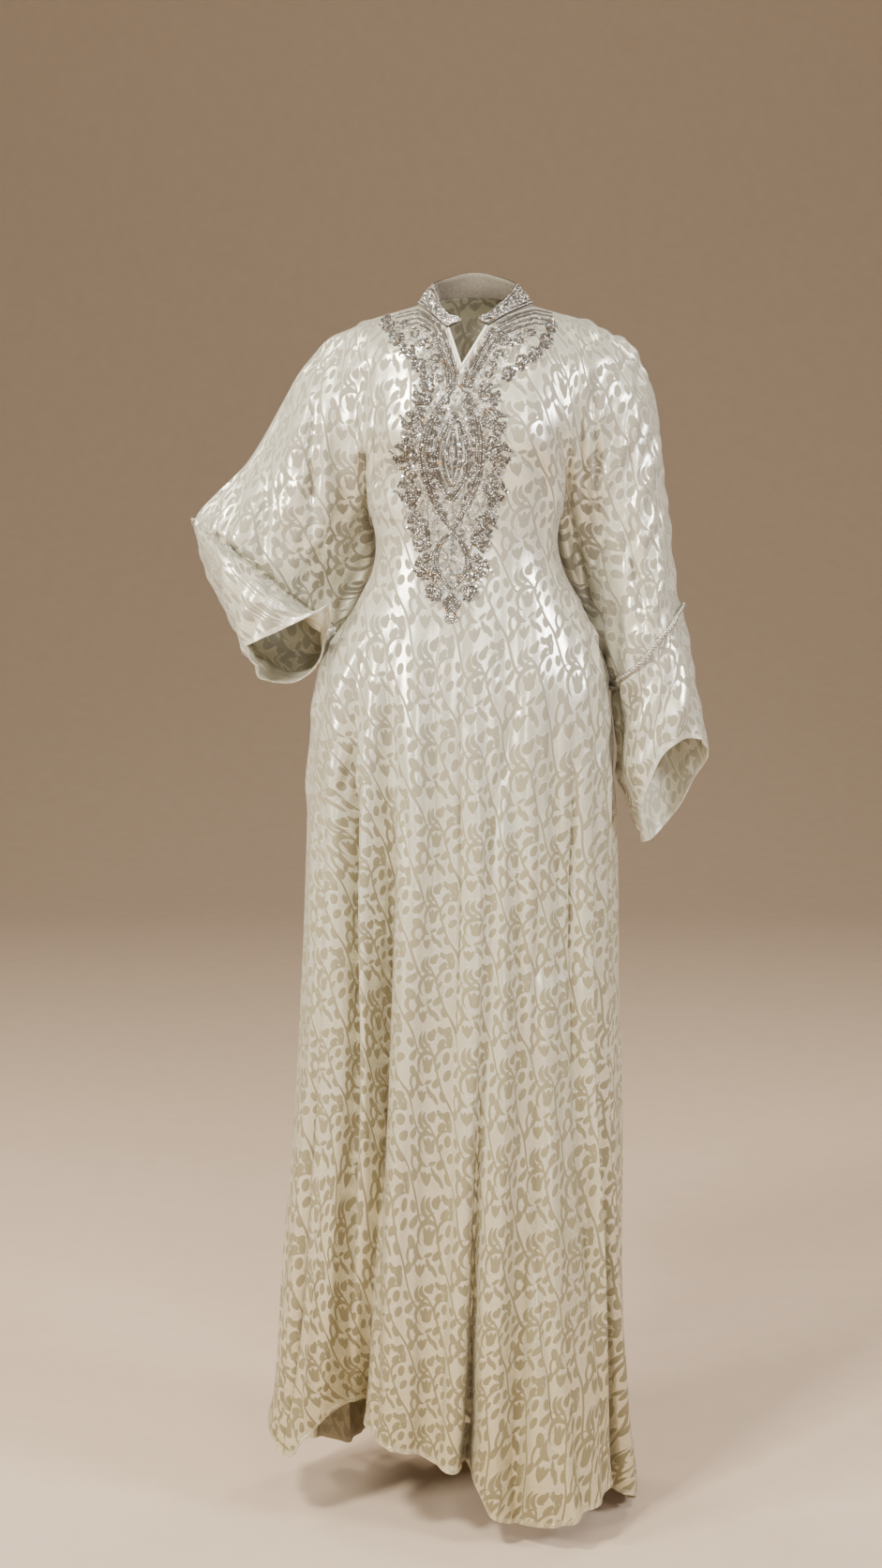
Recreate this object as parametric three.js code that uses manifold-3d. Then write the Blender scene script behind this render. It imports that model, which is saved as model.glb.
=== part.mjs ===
// Ivory kaftan with bat-wing sleeves, worn and hollow: one hand on the hip, the other arm hanging.
// Millimetres. +Z is up, the front faces -Y, and +X is the wearer's left. The origin is the centre of
// the neck at the height where the shoulders carry the cloth; the cloth hangs about 1.49 m below it.
//
// The front and the back are each one T-shaped panel, as a kimono-sleeved garment is cut: a skirt and
// torso with an upper sleeve on each side. A lower sleeve joins each upper one under a braid. A stand
// collar with two pointed ends, a notch binding and a beaded applique finish the neck.
import * as THREE from "three";
import { mergeVertices } from "three/addons/utils/BufferGeometryUtils.js";
import Module from "manifold-3d";

const wasm = await Module();
wasm.setup();

// ---- Driving sizes --------------------------------------------------------------------------
const WALL = 2; // cloth wall
const SEAM_INSET = 0.3; // each panel stops this far short of its seam line
const UNDERARM_Z = -240;
const ARMHOLE_HALF = 109; // half the width between the armhole lines
const SIDE_Y = 5; // depth of the side seams
const RING_POWER = 2.4; // squareness of the body's section
const SHOULDER_Y = 10; // depth of the shoulder seam
const SHOULDER_ROUND = 62; // height over which the shoulder rolls over into the chest
const NECK_HALF = 70; // half-width of the collar seam
const NECK_SIDE_Z = 15; // height of the collar seam at the side of the neck
const SHOULDER_SLOPE = 0.28;
const MID_FOLD_Z = -700; // height at which a fold's middle column is read
const HEM_FOLD_Z = -1440; // height at which a fold's hem column is read

const FRONT_COLUMNS = 32;
const FRONT_MARKS = [81.6, 85, 89.4, 118.6, 125.5]; // angles that always get a column
const BACK_COLUMNS = 26;
const SHOULDER_COLUMNS = 3; // on each side of the neck, the same on the front and the back
const SKIRT_ROWS = 16;
const ARM_ROWS = 12; // steps from the shoulder to the underarm, on the torso and the sleeves
const SLEEVE_STEPS = 8;
const CUFF_STEPS = 5;

// Body sections: the side seams' x and the centre front's and back's y, at each height.
const BODY = [
  { z: 60, left: -200, right: 178, front: -60, back: 62 },
  { z: 0, left: -190, right: 168, front: -78, back: 74 },
  { z: -60, left: -180, right: 158, front: -90, back: 84 },
  { z: -130, left: -165, right: 143, front: -100, back: 90 },
  { z: -180, left: -149, right: 127, front: -99, back: 88 },
  { z: -215, left: -136, right: 114, front: -96, back: 85 },
  { z: -240, left: -127, right: 105, front: -94, back: 82 },
  { z: -270, left: -121, right: 101, front: -92, back: 80 },
  { z: -300, left: -124, right: 107, front: -92, back: 80 },
  { z: -355, left: -151, right: 135, front: -98, back: 92 },
  { z: -413, left: -184, right: 156, front: -106, back: 108 },
  { z: -450, left: -195, right: 167, front: -110, back: 116 },
  { z: -530, left: -203, right: 172, front: -113, back: 122 },
  { z: -650, left: -208, right: 178, front: -114, back: 120 },
  { z: -890, left: -220, right: 182, front: -117, back: 114 },
  { z: -1070, left: -234, right: 187, front: -122, back: 120 },
  { z: -1250, left: -247, right: 194, front: -128, back: 130 },
  { z: -1360, left: -256, right: 200, front: -132, back: 138 },
  { z: -1410, left: -266, right: 204, front: -134, back: 142 },
  { z: -1500, left: -268, right: 214, front: -136, back: 148 },
];

// Hem height round the skirt. 0 degrees is the wearer's left side, 90 the front, 270 the back.
const HEM = [
  { angle: 0, z: -1499 },
  { angle: 10, z: -1500 },
  { angle: 22, z: -1480 },
  { angle: 37, z: -1448 },
  { angle: 45, z: -1458 },
  { angle: 52, z: -1463 },
  { angle: 60, z: -1476 },
  { angle: 70, z: -1484 },
  { angle: 78, z: -1472 },
  { angle: 81, z: -1455 },
  { angle: 85, z: -1420 },
  { angle: 89, z: -1420 },
  { angle: 99, z: -1403 },
  { angle: 108, z: -1392 },
  { angle: 117, z: -1384 },
  { angle: 121, z: -1380 },
  { angle: 126, z: -1366 },
  { angle: 134, z: -1362 },
  { angle: 141, z: -1392 },
  { angle: 149, z: -1424 },
  { angle: 160, z: -1426 },
  { angle: 170, z: -1414 },
  { angle: 180, z: -1402 },
  { angle: 192, z: -1408 },
  { angle: 202, z: -1440 },
  { angle: 216, z: -1470 },
  { angle: 235, z: -1478 },
  { angle: 270, z: -1480 },
  { angle: 315, z: -1480 },
  { angle: 345, z: -1490 },
  { angle: 360, z: -1499 },
];

// Skirt folds. Angles as in HEM, at the fold's top, at MID_FOLD_Z and at the hem. `near` and `far`
// are its half-widths towards smaller and larger angles, and a negative depth is a ridge.
const FOLDS = [
  // front
  { top: 127, mid: 119, hem: 125.5, start: -300, near: 14, far: 30, atMid: 15, atHem: 112 },
  { top: 144, mid: 142, hem: 146, start: -430, near: 20, far: 20, atMid: 15, atHem: 6 },
  { top: 59, mid: 82, hem: 85, start: -250, near: 7, far: 9, atMid: 11, atHem: 88 },
  { top: 92, mid: 95, hem: 97, start: -380, near: 16, far: 16, atMid: 10, atHem: 12 },
  { top: 58, mid: 60, hem: 68, start: -640, near: 17, far: 17, atMid: 5, atHem: 22 },
  { top: 30, mid: 30, hem: 29, start: -560, near: 13, far: 13, atMid: 8, atHem: 58 },
  { top: 46, mid: 47, hem: 46, start: -470, near: 20, far: 20, atMid: 9, atHem: 10 },
  { top: 132, mid: 108, hem: 106, start: -236, near: 7, far: 7, atMid: 6, atHem: 3 },
  { top: 58, mid: 56, hem: 55, start: -800, near: 66, far: 62, atMid: 0, atHem: -66 },
  { top: 100, mid: 106, hem: 104, start: -800, near: 40, far: 30, atMid: 0, atHem: -10 },
  // back
  { top: 214, mid: 208, hem: 206, start: -420, near: 22, far: 18, atMid: 12, atHem: 52 },
  { top: 236, mid: 233, hem: 231, start: -120, near: 20, far: 24, atMid: 16, atHem: 40 },
  { top: 258, mid: 257, hem: 255, start: -90, near: 17, far: 19, atMid: 12, atHem: 56 },
  { top: 281, mid: 282, hem: 284, start: -140, near: 21, far: 18, atMid: 15, atHem: 44 },
  { top: 305, mid: 307, hem: 309, start: -110, near: 18, far: 21, atMid: 12, atHem: 58 },
  { top: 330, mid: 333, hem: 334, start: -460, near: 18, far: 18, atMid: 10, atHem: 40 },
  { top: 245, mid: 244, hem: 243, start: -500, near: 30, far: 30, atMid: -4, atHem: -16 },
  { top: 294, mid: 295, hem: 296, start: -500, near: 30, far: 30, atMid: -4, atHem: -18 },
];

// Sleeve sections from the shoulder to the lower edge. Each is a closed ring between an outer point
// (ox, oy, oz) and an inner one (ix, iy, iz); `front` and `back` are how far it stands out from that
// line towards the front and the back, `web` is how far the inner part is flattened, `lift` and
// `aside` raise and swing the front half and `drop` lowers the back half. The row with `seam` carries
// the braid.
const LEFT_SLEEVE = [
  { ox: 150, oy: 14, oz: -9, ix: 104, iy: 46, iz: -262, front: 98, back: 46, web: 0.5 },
  { ox: 190, oy: 18, oz: -33, ix: 107, iy: 53, iz: -300, front: 88, back: 46, web: 0.6 },
  { ox: 213, oy: 20, oz: -70, ix: 127, iy: 55, iz: -345, front: 82, back: 46, web: 0.65 },
  { ox: 225, oy: 20, oz: -130, ix: 143, iy: 57, iz: -378, front: 80, back: 44, web: 0.55 },
  { ox: 234, oy: 20, oz: -200, ix: 154, iy: 56, iz: -404, front: 78, back: 44, web: 0.45 },
  { ox: 244, oy: 20, oz: -275, ix: 163, iy: 52, iz: -430, front: 76, back: 46, web: 0.3 },
  { ox: 254, oy: 15, oz: -354, ix: 175, iy: 50, iz: -452, front: 74, back: 48, web: 0.1, seam: true },
  { ox: 264, oy: 10, oz: -396, ix: 180, iy: 36, iz: -512, front: 64, back: 48, web: 0, lift: 6 },
  { ox: 276, oy: 5, oz: -462, ix: 186, iy: 18, iz: -580, front: 58, back: 48, web: 0, lift: 26, aside: -8, drop: 8 },
  { ox: 291, oy: 8, oz: -534, ix: 214, iy: -4, iz: -636, front: 50, back: 46, web: 0, lift: 50, aside: -24, drop: 36 },
];
const RIGHT_SLEEVE = [
  { ox: -160, oy: 14, oz: -16, ix: -126, iy: 46, iz: -262, front: 96, back: 44, web: 0.6 },
  { ox: -205, oy: 20, oz: -52, ix: -125, iy: 53, iz: -288, front: 88, back: 44, web: 0.7 },
  { ox: -236, oy: 26, oz: -105, ix: -133, iy: 56, iz: -312, front: 84, back: 44, web: 0.75 },
  { ox: -266, oy: 32, oz: -155, ix: -140, iy: 56, iz: -332, front: 80, back: 44, web: 0.75, drop: 4 },
  { ox: -300, oy: 38, oz: -195, ix: -150, iy: 54, iz: -350, front: 74, back: 44, web: 0.7, drop: 16 },
  { ox: -330, oy: 38, oz: -226, ix: -162, iy: 48, iz: -368, front: 66, back: 46, web: 0.6, drop: 44 },
  { ox: -345, oy: 30, oz: -246, ix: -175, iy: 36, iz: -384, front: 55, back: 48, web: 0.35, drop: 84, seam: true },
  { ox: -341, oy: 8, oz: -264, ix: -185, iy: 2, iz: -390, front: 60, back: 52, web: 0, lift: 17, drop: 94 },
  { ox: -318, oy: -22, oz: -312, ix: -189, iy: -36, iz: -372, front: 50, back: 60, web: 0, lift: 12, drop: 86 },
  { ox: -281, oy: -58, oz: -394, ix: -178, iy: -72, iz: -345, front: 18, back: 68, web: 0, drop: 76 },
];

// Creases on the chest and the upper sleeves, as soft troughs seen from the front: a curve through
// three points with a half-width and a depth. A negative depth is a ridge. `back` puts it behind.
const CREASES = [
  { x0: -158, z0: -50, x1: -170, z1: -150, x2: -152, z2: -285, width: 17, depth: 17 },
  { x0: -205, z0: -80, x1: -226, z1: -170, x2: -226, z2: -262, width: 16, depth: -8 },
  { x0: -252, z0: -130, x1: -266, z1: -185, x2: -290, z2: -238, width: 13, depth: 9 },
  { x0: 103, z0: -150, x1: 120, z1: -262, x2: 162, z2: -405, width: 11, depth: 27 },
  { x0: 84, z0: -150, x1: 96, z1: -262, x2: 146, z2: -385, width: 9, depth: -12 },
  { x0: 158, z0: -60, x1: 166, z1: -190, x2: 186, z2: -345, width: 13, depth: 8 },
  { x0: 196, z0: -70, x1: 210, z1: -200, x2: 222, z2: -340, width: 12, depth: 7 },
  { x0: -100, z0: -150, x1: -108, z1: -200, x2: -96, z2: -255, width: 20, depth: 16 },
  { x0: 82, z0: -165, x1: 84, z1: -200, x2: 74, z2: -245, width: 15, depth: 12 },
  { x0: -185, z0: -50, x1: -200, z1: -160, x2: -190, z2: -290, width: 18, depth: 12, back: true },
  { x0: 165, z0: -50, x1: 178, z1: -190, x2: 188, z2: -340, width: 16, depth: 12, back: true },
];

// Front neckline left of, in and right of the notch, and the back neckline: x and height.
const NECK_FRONT = [
  { x: -70, z: 15 },
  { x: -60, z: 8 },
  { x: -49, z: -1 },
  { x: -34.5, z: -13.5 },
  { x: -18, z: -62 },
  { x: 14, z: -11 },
  { x: 33, z: 0 },
  { x: 52, z: 8 },
  { x: 70, z: 15 },
];
const NECK_BACK_RISE = 11; // the back neckline's rise from the side of the neck to its middle

// ---- Curves ---------------------------------------------------------------------------------
const clamp01 = (t) => Math.min(1, Math.max(0, t));
const smooth = (t) => clamp01(t) ** 2 * (3 - 2 * clamp01(t));
const mix = (a, b, t) => a + (b - a) * t;

// Reads column `key` of a table sorted by `along`, with a monotone cubic between its rows.
function readTable(table, along, key, at) {
  const rows = table[0][along] < table[1][along] ? table : [...table].reverse();
  const x = rows.map((r) => r[along]);
  const y = rows.map((r) => r[key]);
  const last = x.length - 1;
  if (at <= x[0]) return y[0];
  if (at >= x[last]) return y[last];
  const slope = (i) => (y[i + 1] - y[i]) / (x[i + 1] - x[i]);
  const tangent = (i) => {
    if (i === 0 || i === last) return 0;
    const [a, b] = [slope(i - 1), slope(i)];
    return a * b <= 0 ? 0 : (2 * a * b) / (a + b);
  };
  const i = x.findIndex((v) => v > at) - 1;
  const h = x[i + 1] - x[i];
  const t = (at - x[i]) / h;
  return (
    y[i] * (1 + 2 * t) * (1 - t) ** 2 +
    h * tangent(i) * t * (1 - t) ** 2 +
    y[i + 1] * t * t * (3 - 2 * t) +
    h * tangent(i + 1) * t * t * (t - 1)
  );
}
const body = (key, z) => readTable(BODY, "z", key, z);

// ---- Skirt ----------------------------------------------------------------------------------
// Depth of a fold set at one angle (degrees) and height, outwards positive.
function foldOffset(angle, z) {
  const radius = (body("right", z) - body("left", z)) / 4 + (body("back", z) - body("front", z)) / 4;
  const low = clamp01((MID_FOLD_Z - z) / (MID_FOLD_Z - HEM_FOLD_Z));
  let sum = 0;
  for (const f of FOLDS) {
    const high = clamp01((f.start - z) / Math.max(60, f.start - MID_FOLD_Z));
    const centre = z > MID_FOLD_Z ? mix(f.top, f.mid, smooth(high)) : mix(f.mid, f.hem, low);
    const depth = z > MID_FOLD_Z ? f.atMid * smooth(high) : mix(f.atMid, f.atHem, low ** 1.6);
    if (z > f.start) continue;
    const across = ((angle - centre) * Math.PI * radius) / 180;
    const reach = Math.abs(across) / (across < 0 ? f.near : f.far);
    sum -= depth * Math.exp(-(reach ** 1.7));
  }
  return sum;
}

// Point of the plain body section at an angle: a squared-off oval through the table's four sides.
function sectionPoint(angle, z) {
  const turn = (angle * Math.PI) / 180;
  const across = Math.cos(turn);
  const half = (body("right", z) - body("left", z)) / 2;
  const depth = (angle <= 180 ? body("front", z) : body("back", z)) - SIDE_Y;
  const x = (body("right", z) + body("left", z)) / 2 + half * across;
  const y = SIDE_Y + depth * Math.max(0, 1 - Math.abs(across) ** RING_POWER) ** (1 / RING_POWER);
  return new THREE.Vector3(x, y, z);
}

// Point of the folded skirt: `down` runs from 0 at the underarm to 1 at the hem.
function skirtPoint(angle, down) {
  const z = mix(UNDERARM_Z, readTable(HEM, "angle", "z", angle), down);
  const p = sectionPoint(angle, z);
  const step = 2;
  const ahead = sectionPoint(Math.min(360, angle + step), z);
  const behind = sectionPoint(Math.max(0, angle - step), z);
  const along = ahead.sub(behind).normalize();
  const outward = new THREE.Vector3(-along.y, along.x, 0).negate();
  if (outward.dot(new THREE.Vector3(Math.cos((angle * Math.PI) / 180), angle <= 180 ? -1 : 1, 0)) < 0)
    outward.negate();
  const seam = Math.abs(((angle + 90) % 180) - 90); // folds die out at the side seams
  return p.addScaledVector(outward, foldOffset(angle, z) * smooth(seam / 9));
}

// Column angles from the right side seam (180) to the left one, spaced evenly along the folded hem.
function columnAngles(count, end) {
  const fine = 360;
  const at = (i) => mix(180, end, i / fine);
  const lengths = [0];
  for (let i = 1; i <= fine; i++) {
    const low = skirtPoint(at(i), 0.93).distanceTo(skirtPoint(at(i - 1), 0.93));
    const high = skirtPoint(at(i), 0.3).distanceTo(skirtPoint(at(i - 1), 0.3));
    lengths.push(lengths[i - 1] + low + high);
  }
  const angles = Array.from({ length: count + 1 }, (_, k) => {
    const wanted = (lengths[fine] * k) / count;
    const i = Math.max(1, lengths.findIndex((v) => v >= wanted - 1e-9));
    return at(i - 1 + (wanted - lengths[i - 1]) / (lengths[i] - lengths[i - 1]));
  });
  for (const mark of end < 180 ? FRONT_MARKS : []) {
    const gaps = angles.map((angle) => Math.abs(angle - mark));
    angles[gaps.indexOf(Math.min(...gaps))] = mark;
  }
  return angles;
}

// ---- Torso ----------------------------------------------------------------------------------
// Height of the shoulder line, carried on over the neck so that the chest rolls up towards it.
function shoulderZ(x) {
  const beyond = Math.abs(x) - NECK_HALF;
  if (beyond > 0) return NECK_SIDE_Z - SHOULDER_SLOPE * beyond;
  return NECK_SIDE_Z + 20 * (1 - (x / NECK_HALF) ** 2);
}

// Depth of a crease set at a point seen from the front, outwards positive.
function creaseOffset(x, z, back) {
  let sum = 0;
  for (const c of CREASES) {
    if (Boolean(c.back) !== back) continue;
    let nearest = Infinity;
    let along = 0;
    for (let i = 0; i <= 10; i++) {
      const t = i / 10;
      const px = (1 - t) ** 2 * c.x0 + 2 * t * (1 - t) * c.x1 + t * t * c.x2;
      const pz = (1 - t) ** 2 * c.z0 + 2 * t * (1 - t) * c.z1 + t * t * c.z2;
      const d = Math.hypot(x - px, z - pz);
      if (d < nearest) [nearest, along] = [d, t];
    }
    const taper = Math.sin(Math.PI * (0.12 + 0.76 * along));
    sum -= c.depth * taper * Math.exp(-((nearest / c.width) ** 2));
  }
  return sum;
}

const BUST = { x: 74, z: -138, out: 22, across: 44, above: 62, below: 36 };
function bustOffset(x, z) {
  const centre = (body("left", z) + body("right", z)) / 2;
  const dx = (Math.abs(x - centre) - BUST.x) / BUST.across;
  const dz = (z - BUST.z) / (z > BUST.z ? BUST.above : BUST.below);
  return BUST.out * Math.exp(-dx * dx - dz * dz);
}

// Depth of the chest (or of the upper back) at a place seen from the front.
function torsoY(x, z, back) {
  const half = (body("right", z) - body("left", z)) / 2;
  const across = Math.min(1, Math.abs(x - (body("right", z) + body("left", z)) / 2) / half);
  const depth = (back ? body("back", z) : body("front", z)) - SIDE_Y;
  const oval = depth * (1 - across ** RING_POWER) ** (1 / RING_POWER);
  const below = clamp01((shoulderZ(x) - z) / SHOULDER_ROUND);
  const roll = Math.sqrt(1 - (1 - below) ** 2);
  const low = smooth((z - UNDERARM_Z) / 70); // bust and creases die out at the underarm row
  const out = ((back ? 0 : bustOffset(x, z)) + creaseOffset(x, z, back) * low) * roll;
  return SHOULDER_Y + (SIDE_Y + oval - SHOULDER_Y) * roll + (back ? out : -out);
}

const neckTop = (x, back) =>
  back
    ? NECK_SIDE_Z + NECK_BACK_RISE * (1 - (x / NECK_HALF) ** 2)
    : readLine(NECK_FRONT, x);

// Straight lines between a table's points, so that the notch keeps its corners.
function readLine(table, x) {
  const i = Math.max(1, table.findIndex((r) => r.x >= x - 1e-9));
  const [a, b] = [table[i - 1], table[i]];
  return mix(a.z, b.z, clamp01((x - a.x) / (b.x - a.x)));
}

// x of each column along the shoulders and the neckline. The notch's three corners get a column.
function topColumns(count, back) {
  const edge = [body("left", UNDERARM_Z), body("right", UNDERARM_Z)];
  const inner = count - 2 * SHOULDER_COLUMNS;
  const marks = back ? [-NECK_HALF, NECK_HALF] : [-NECK_HALF, -34.5, -18, 14, NECK_HALF];
  const shares = back ? [inner] : [7, 5, 6, inner - 18];
  const xs = [];
  for (let i = 0; i < SHOULDER_COLUMNS; i++) xs.push(mix(edge[0], -NECK_HALF, i / SHOULDER_COLUMNS));
  shares.forEach((n, s) => {
    for (let i = 0; i < n; i++) xs.push(mix(marks[s], marks[s + 1], i / n));
  });
  for (let i = 0; i <= SHOULDER_COLUMNS; i++) xs.push(mix(NECK_HALF, edge[1], i / SHOULDER_COLUMNS));
  return xs;
}

// Point of a torso column: `down` runs from 0 at the shoulder or neckline to 1 at the underarm.
function torsoPoint(topX, lowX, down, back) {
  const topZ = Math.abs(topX) <= NECK_HALF ? neckTop(topX, back) : shoulderZ(topX);
  const x = mix(topX, lowX, smooth(down));
  const z = mix(topZ, UNDERARM_Z, down);
  return new THREE.Vector3(x, torsoY(x, z, back), z);
}

// ---- Sleeves --------------------------------------------------------------------------------
// Point of a table row's ring: `turn` runs from 0 at the outer point to PI at the inner one.
function ringPoint(row, turn, back) {
  const outer = new THREE.Vector3(row.ox, row.oy, row.oz);
  const inner = new THREE.Vector3(row.ix, row.iy, row.iz);
  const share = (1 - Math.cos(turn)) / 2;
  const chord = inner.clone().sub(outer).normalize();
  const out = new THREE.Vector3(0, back ? 1 : -1, 0);
  out.addScaledVector(chord, -out.dot(chord)).normalize();
  const reach = (back ? row.back : row.front) * Math.sin(turn) ** 0.85;
  const p = outer.lerp(inner, share);
  p.addScaledVector(out, reach * (1 - row.web * smooth(share * 2 - 1)));
  p.z += (back ? -(row.drop ?? 0) : (row.lift ?? 0)) * Math.sin(turn);
  if (!back) p.x += (row.aside ?? 0) * Math.sin(turn);
  return p;
}

// Point on a sleeve: `along` counts table rows, with 0 at the armhole line. The surface runs through
// the torso's last columns and every row, as a Catmull-Rom curve at each turn.
function sleevePoint(rows, along, step, back) {
  const turn = (Math.PI * step) / ARM_ROWS;
  const side = Math.sign(rows[0].ox);
  const edge = side < 0 ? body("left", UNDERARM_Z) : body("right", UNDERARM_Z);
  const share = (1 - Math.cos(turn)) / 2;
  const armhole = (x) => {
    const z = mix(shoulderZ(edge), UNDERARM_Z, share);
    return new THREE.Vector3(x, torsoY(x, z, back), z);
  };
  const knot = (i) => {
    if (i < 0) return armhole(edge - side * 34);
    if (i === 0) return armhole(edge);
    return ringPoint(rows[Math.min(i, rows.length) - 1], turn, back);
  };
  const i = Math.min(Math.floor(along), rows.length - 1);
  const t = along - i;
  const [a, b, c] = [knot(i - 1), knot(i), knot(i + 1)];
  const d = i + 2 <= rows.length ? knot(i + 2) : c.clone().multiplyScalar(2).sub(b);
  const blend = (p, q, r, s) =>
    0.5 * (2 * q + (r - p) * t + (2 * p - 5 * q + 4 * r - s) * t * t + (3 * q - p - 3 * r + s) * t ** 3);
  const point = new THREE.Vector3(
    blend(a.x, b.x, c.x, d.x),
    blend(a.y, b.y, c.y, d.y),
    blend(a.z, b.z, c.z, d.z),
  );
  const free = smooth(along) * Math.sin(turn) * (1 - smooth((along - seamRow(rows)) / 1.5));
  const crease = creaseOffset(point.x, point.z, back) * free;
  point.y += back ? crease : -crease;
  return point;
}
const seamRow = (rows) => rows.findIndex((r) => r.seam) + 1;

// ---- The cloth as one surface ---------------------------------------------------------------
// Every panel shares its seam points and normals with its neighbours, so that the walls meet square.
const cloth = { points: [], faces: [] };
const addPoint = (p) => cloth.points.push(p) - 1;

// Adds the faces of a grid of point numbers, grid[column][row], facing the front or the back.
function addGrid(panel, grid, facing) {
  for (let i = 0; i + 1 < grid.length; i++)
    for (let k = 0; k + 1 < grid[i].length; k++) {
      const quad = [grid[i][k], grid[i][k + 1], grid[i + 1][k + 1], grid[i + 1][k]];
      cloth.faces.push({ panel, quad: facing > 0 ? quad : quad.reverse() });
    }
}

function buildBody() {
  const make = (count, end, back) => {
    const angles = columnAngles(count, end);
    const top = topColumns(count, back);
    return { angles, top, back };
  };
  const sheets = { front: make(FRONT_COLUMNS, 0, false), back: make(BACK_COLUMNS, 360, true) };
  const grids = {};
  for (const [name, sheet] of Object.entries(sheets)) {
    const last = sheet.angles.length - 1;
    const skirt = sheet.angles.map((angle, i) =>
      Array.from({ length: SKIRT_ROWS + 1 }, (_, r) => {
        if (name === "back" && (i === 0 || i === last)) return grids.front.skirt[i ? FRONT_COLUMNS : 0][r];
        return addPoint(skirtPoint(angle, (r / SKIRT_ROWS) ** 1.25));
      }),
    );
    const torso = sheet.top.map((x, i) =>
      Array.from({ length: ARM_ROWS + 1 }, (_, k) => {
        if (k === ARM_ROWS) return skirt[i][0];
        const fromSide = Math.min(i, last - i);
        if (name === "back" && k === 0 && fromSide <= SHOULDER_COLUMNS)
          return grids.front.torso[i <= SHOULDER_COLUMNS ? i : FRONT_COLUMNS - (last - i)][0];
        const low = sectionPoint(sheet.angles[i], UNDERARM_Z).x;
        return addPoint(torsoPoint(x, low, (1 - Math.cos((Math.PI * k) / ARM_ROWS)) / 2, sheet.back));
      }),
    );
    grids[name] = { skirt, torso };
    const facing = sheet.back ? -1 : 1;
    addGrid(name, skirt, facing);
    addGrid(name, torso, facing);
  }
  return grids;
}

// One sleeve: the upper part belongs to the front and back panels, the lower part is its own tube.
function buildSleeve(rows, grids, cuffName) {
  const side = Math.sign(rows[0].ox);
  const seam = seamRow(rows);
  const stations = [
    ...Array.from({ length: SLEEVE_STEPS + 1 }, (_, i) => (seam * i) / SLEEVE_STEPS),
    ...Array.from({ length: CUFF_STEPS }, (_, i) => mix(seam, rows.length, (i + 1) / CUFF_STEPS)),
  ];
  const halves = {};
  for (const [name, back] of [["front", false], ["back", true]]) {
    const torso = grids[name].torso;
    const edge = torso[side < 0 ? 0 : torso.length - 1];
    halves[name] = stations.map((along, s) =>
      Array.from({ length: ARM_ROWS + 1 }, (_, k) => {
        if (s === 0) return edge[k];
        if (name === "back" && (k === 0 || k === ARM_ROWS)) return halves.front[s][k];
        return addPoint(sleevePoint(rows, along, k, back));
      }),
    );
    const facing = (back ? -1 : 1) * side;
    addGrid(name, halves[name].slice(0, SLEEVE_STEPS + 1), facing);
    addGrid(cuffName, halves[name].slice(SLEEVE_STEPS), facing);
  }
  return [...halves.front[SLEEVE_STEPS], ...halves.back[SLEEVE_STEPS].slice(1, -1).reverse()];
}

const grids = buildBody();
const braidLoops = {
  left: buildSleeve(LEFT_SLEEVE, grids, "lower_sleeve_left"),
  right: buildSleeve(RIGHT_SLEEVE, grids, "lower_sleeve_right"),
};

// Point normals over the whole cloth, weighted by area.
const normals = cloth.points.map(() => new THREE.Vector3());
for (const { quad } of cloth.faces) {
  const [a, b, c, d] = quad.map((i) => cloth.points[i]);
  const n = c.clone().sub(a).cross(d.clone().sub(b));
  for (const i of quad) normals[i].add(n);
}
normals.forEach((n) => n.normalize());

// ---- Solids ---------------------------------------------------------------------------------
function geometryOf(points, triangles) {
  const g = new THREE.BufferGeometry();
  g.setAttribute("position", new THREE.Float32BufferAttribute(points.flatMap((p) => p.toArray()), 3));
  g.setIndex(triangles);
  return g;
}

// A closed wall over chosen faces of the cloth, between two offsets from the middle surface.
function wallOver(faces, inside, outside, inset = SEAM_INSET) {
  const used = [...new Set(faces.flatMap((f) => f.quad))];
  const number = new Map(used.map((v, i) => [v, i]));
  const edges = new Map();
  const towards = used.map(() => new THREE.Vector3());
  for (const { quad } of faces) {
    const middle = quad.reduce((s, i) => s.add(cloth.points[i]), new THREE.Vector3()).divideScalar(4);
    quad.forEach((a, i) => {
      const b = quad[(i + 1) % 4];
      towards[number.get(a)].add(middle.clone().sub(cloth.points[a]));
      if (!edges.delete(`${b}_${a}`)) edges.set(`${a}_${b}`, [number.get(a), number.get(b)]);
    });
  }
  const onEdge = new Set([...edges.values()].flat());
  const base = used.map((v, i) => {
    const p = cloth.points[v].clone();
    if (!onEdge.has(i)) return p;
    const move = towards[i].addScaledVector(normals[v], -towards[i].dot(normals[v])).normalize();
    return p.addScaledVector(move, inset);
  });
  const n = used.length;
  const points = [
    ...base.map((p, i) => p.clone().addScaledVector(normals[used[i]], outside)),
    ...base.map((p, i) => p.clone().addScaledVector(normals[used[i]], inside)),
  ];
  const triangles = [];
  for (const { quad } of faces) {
    const [a, b, c, d] = quad.map((v) => number.get(v));
    triangles.push(a, b, c, a, c, d, c + n, b + n, a + n, d + n, c + n, a + n);
  }
  for (const [a, b] of edges.values()) triangles.push(b, a, a + n, b, a + n, b + n);
  return geometryOf(points, triangles);
}
const facesOf = (panel) => cloth.faces.filter((f) => f.panel === panel);

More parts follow.
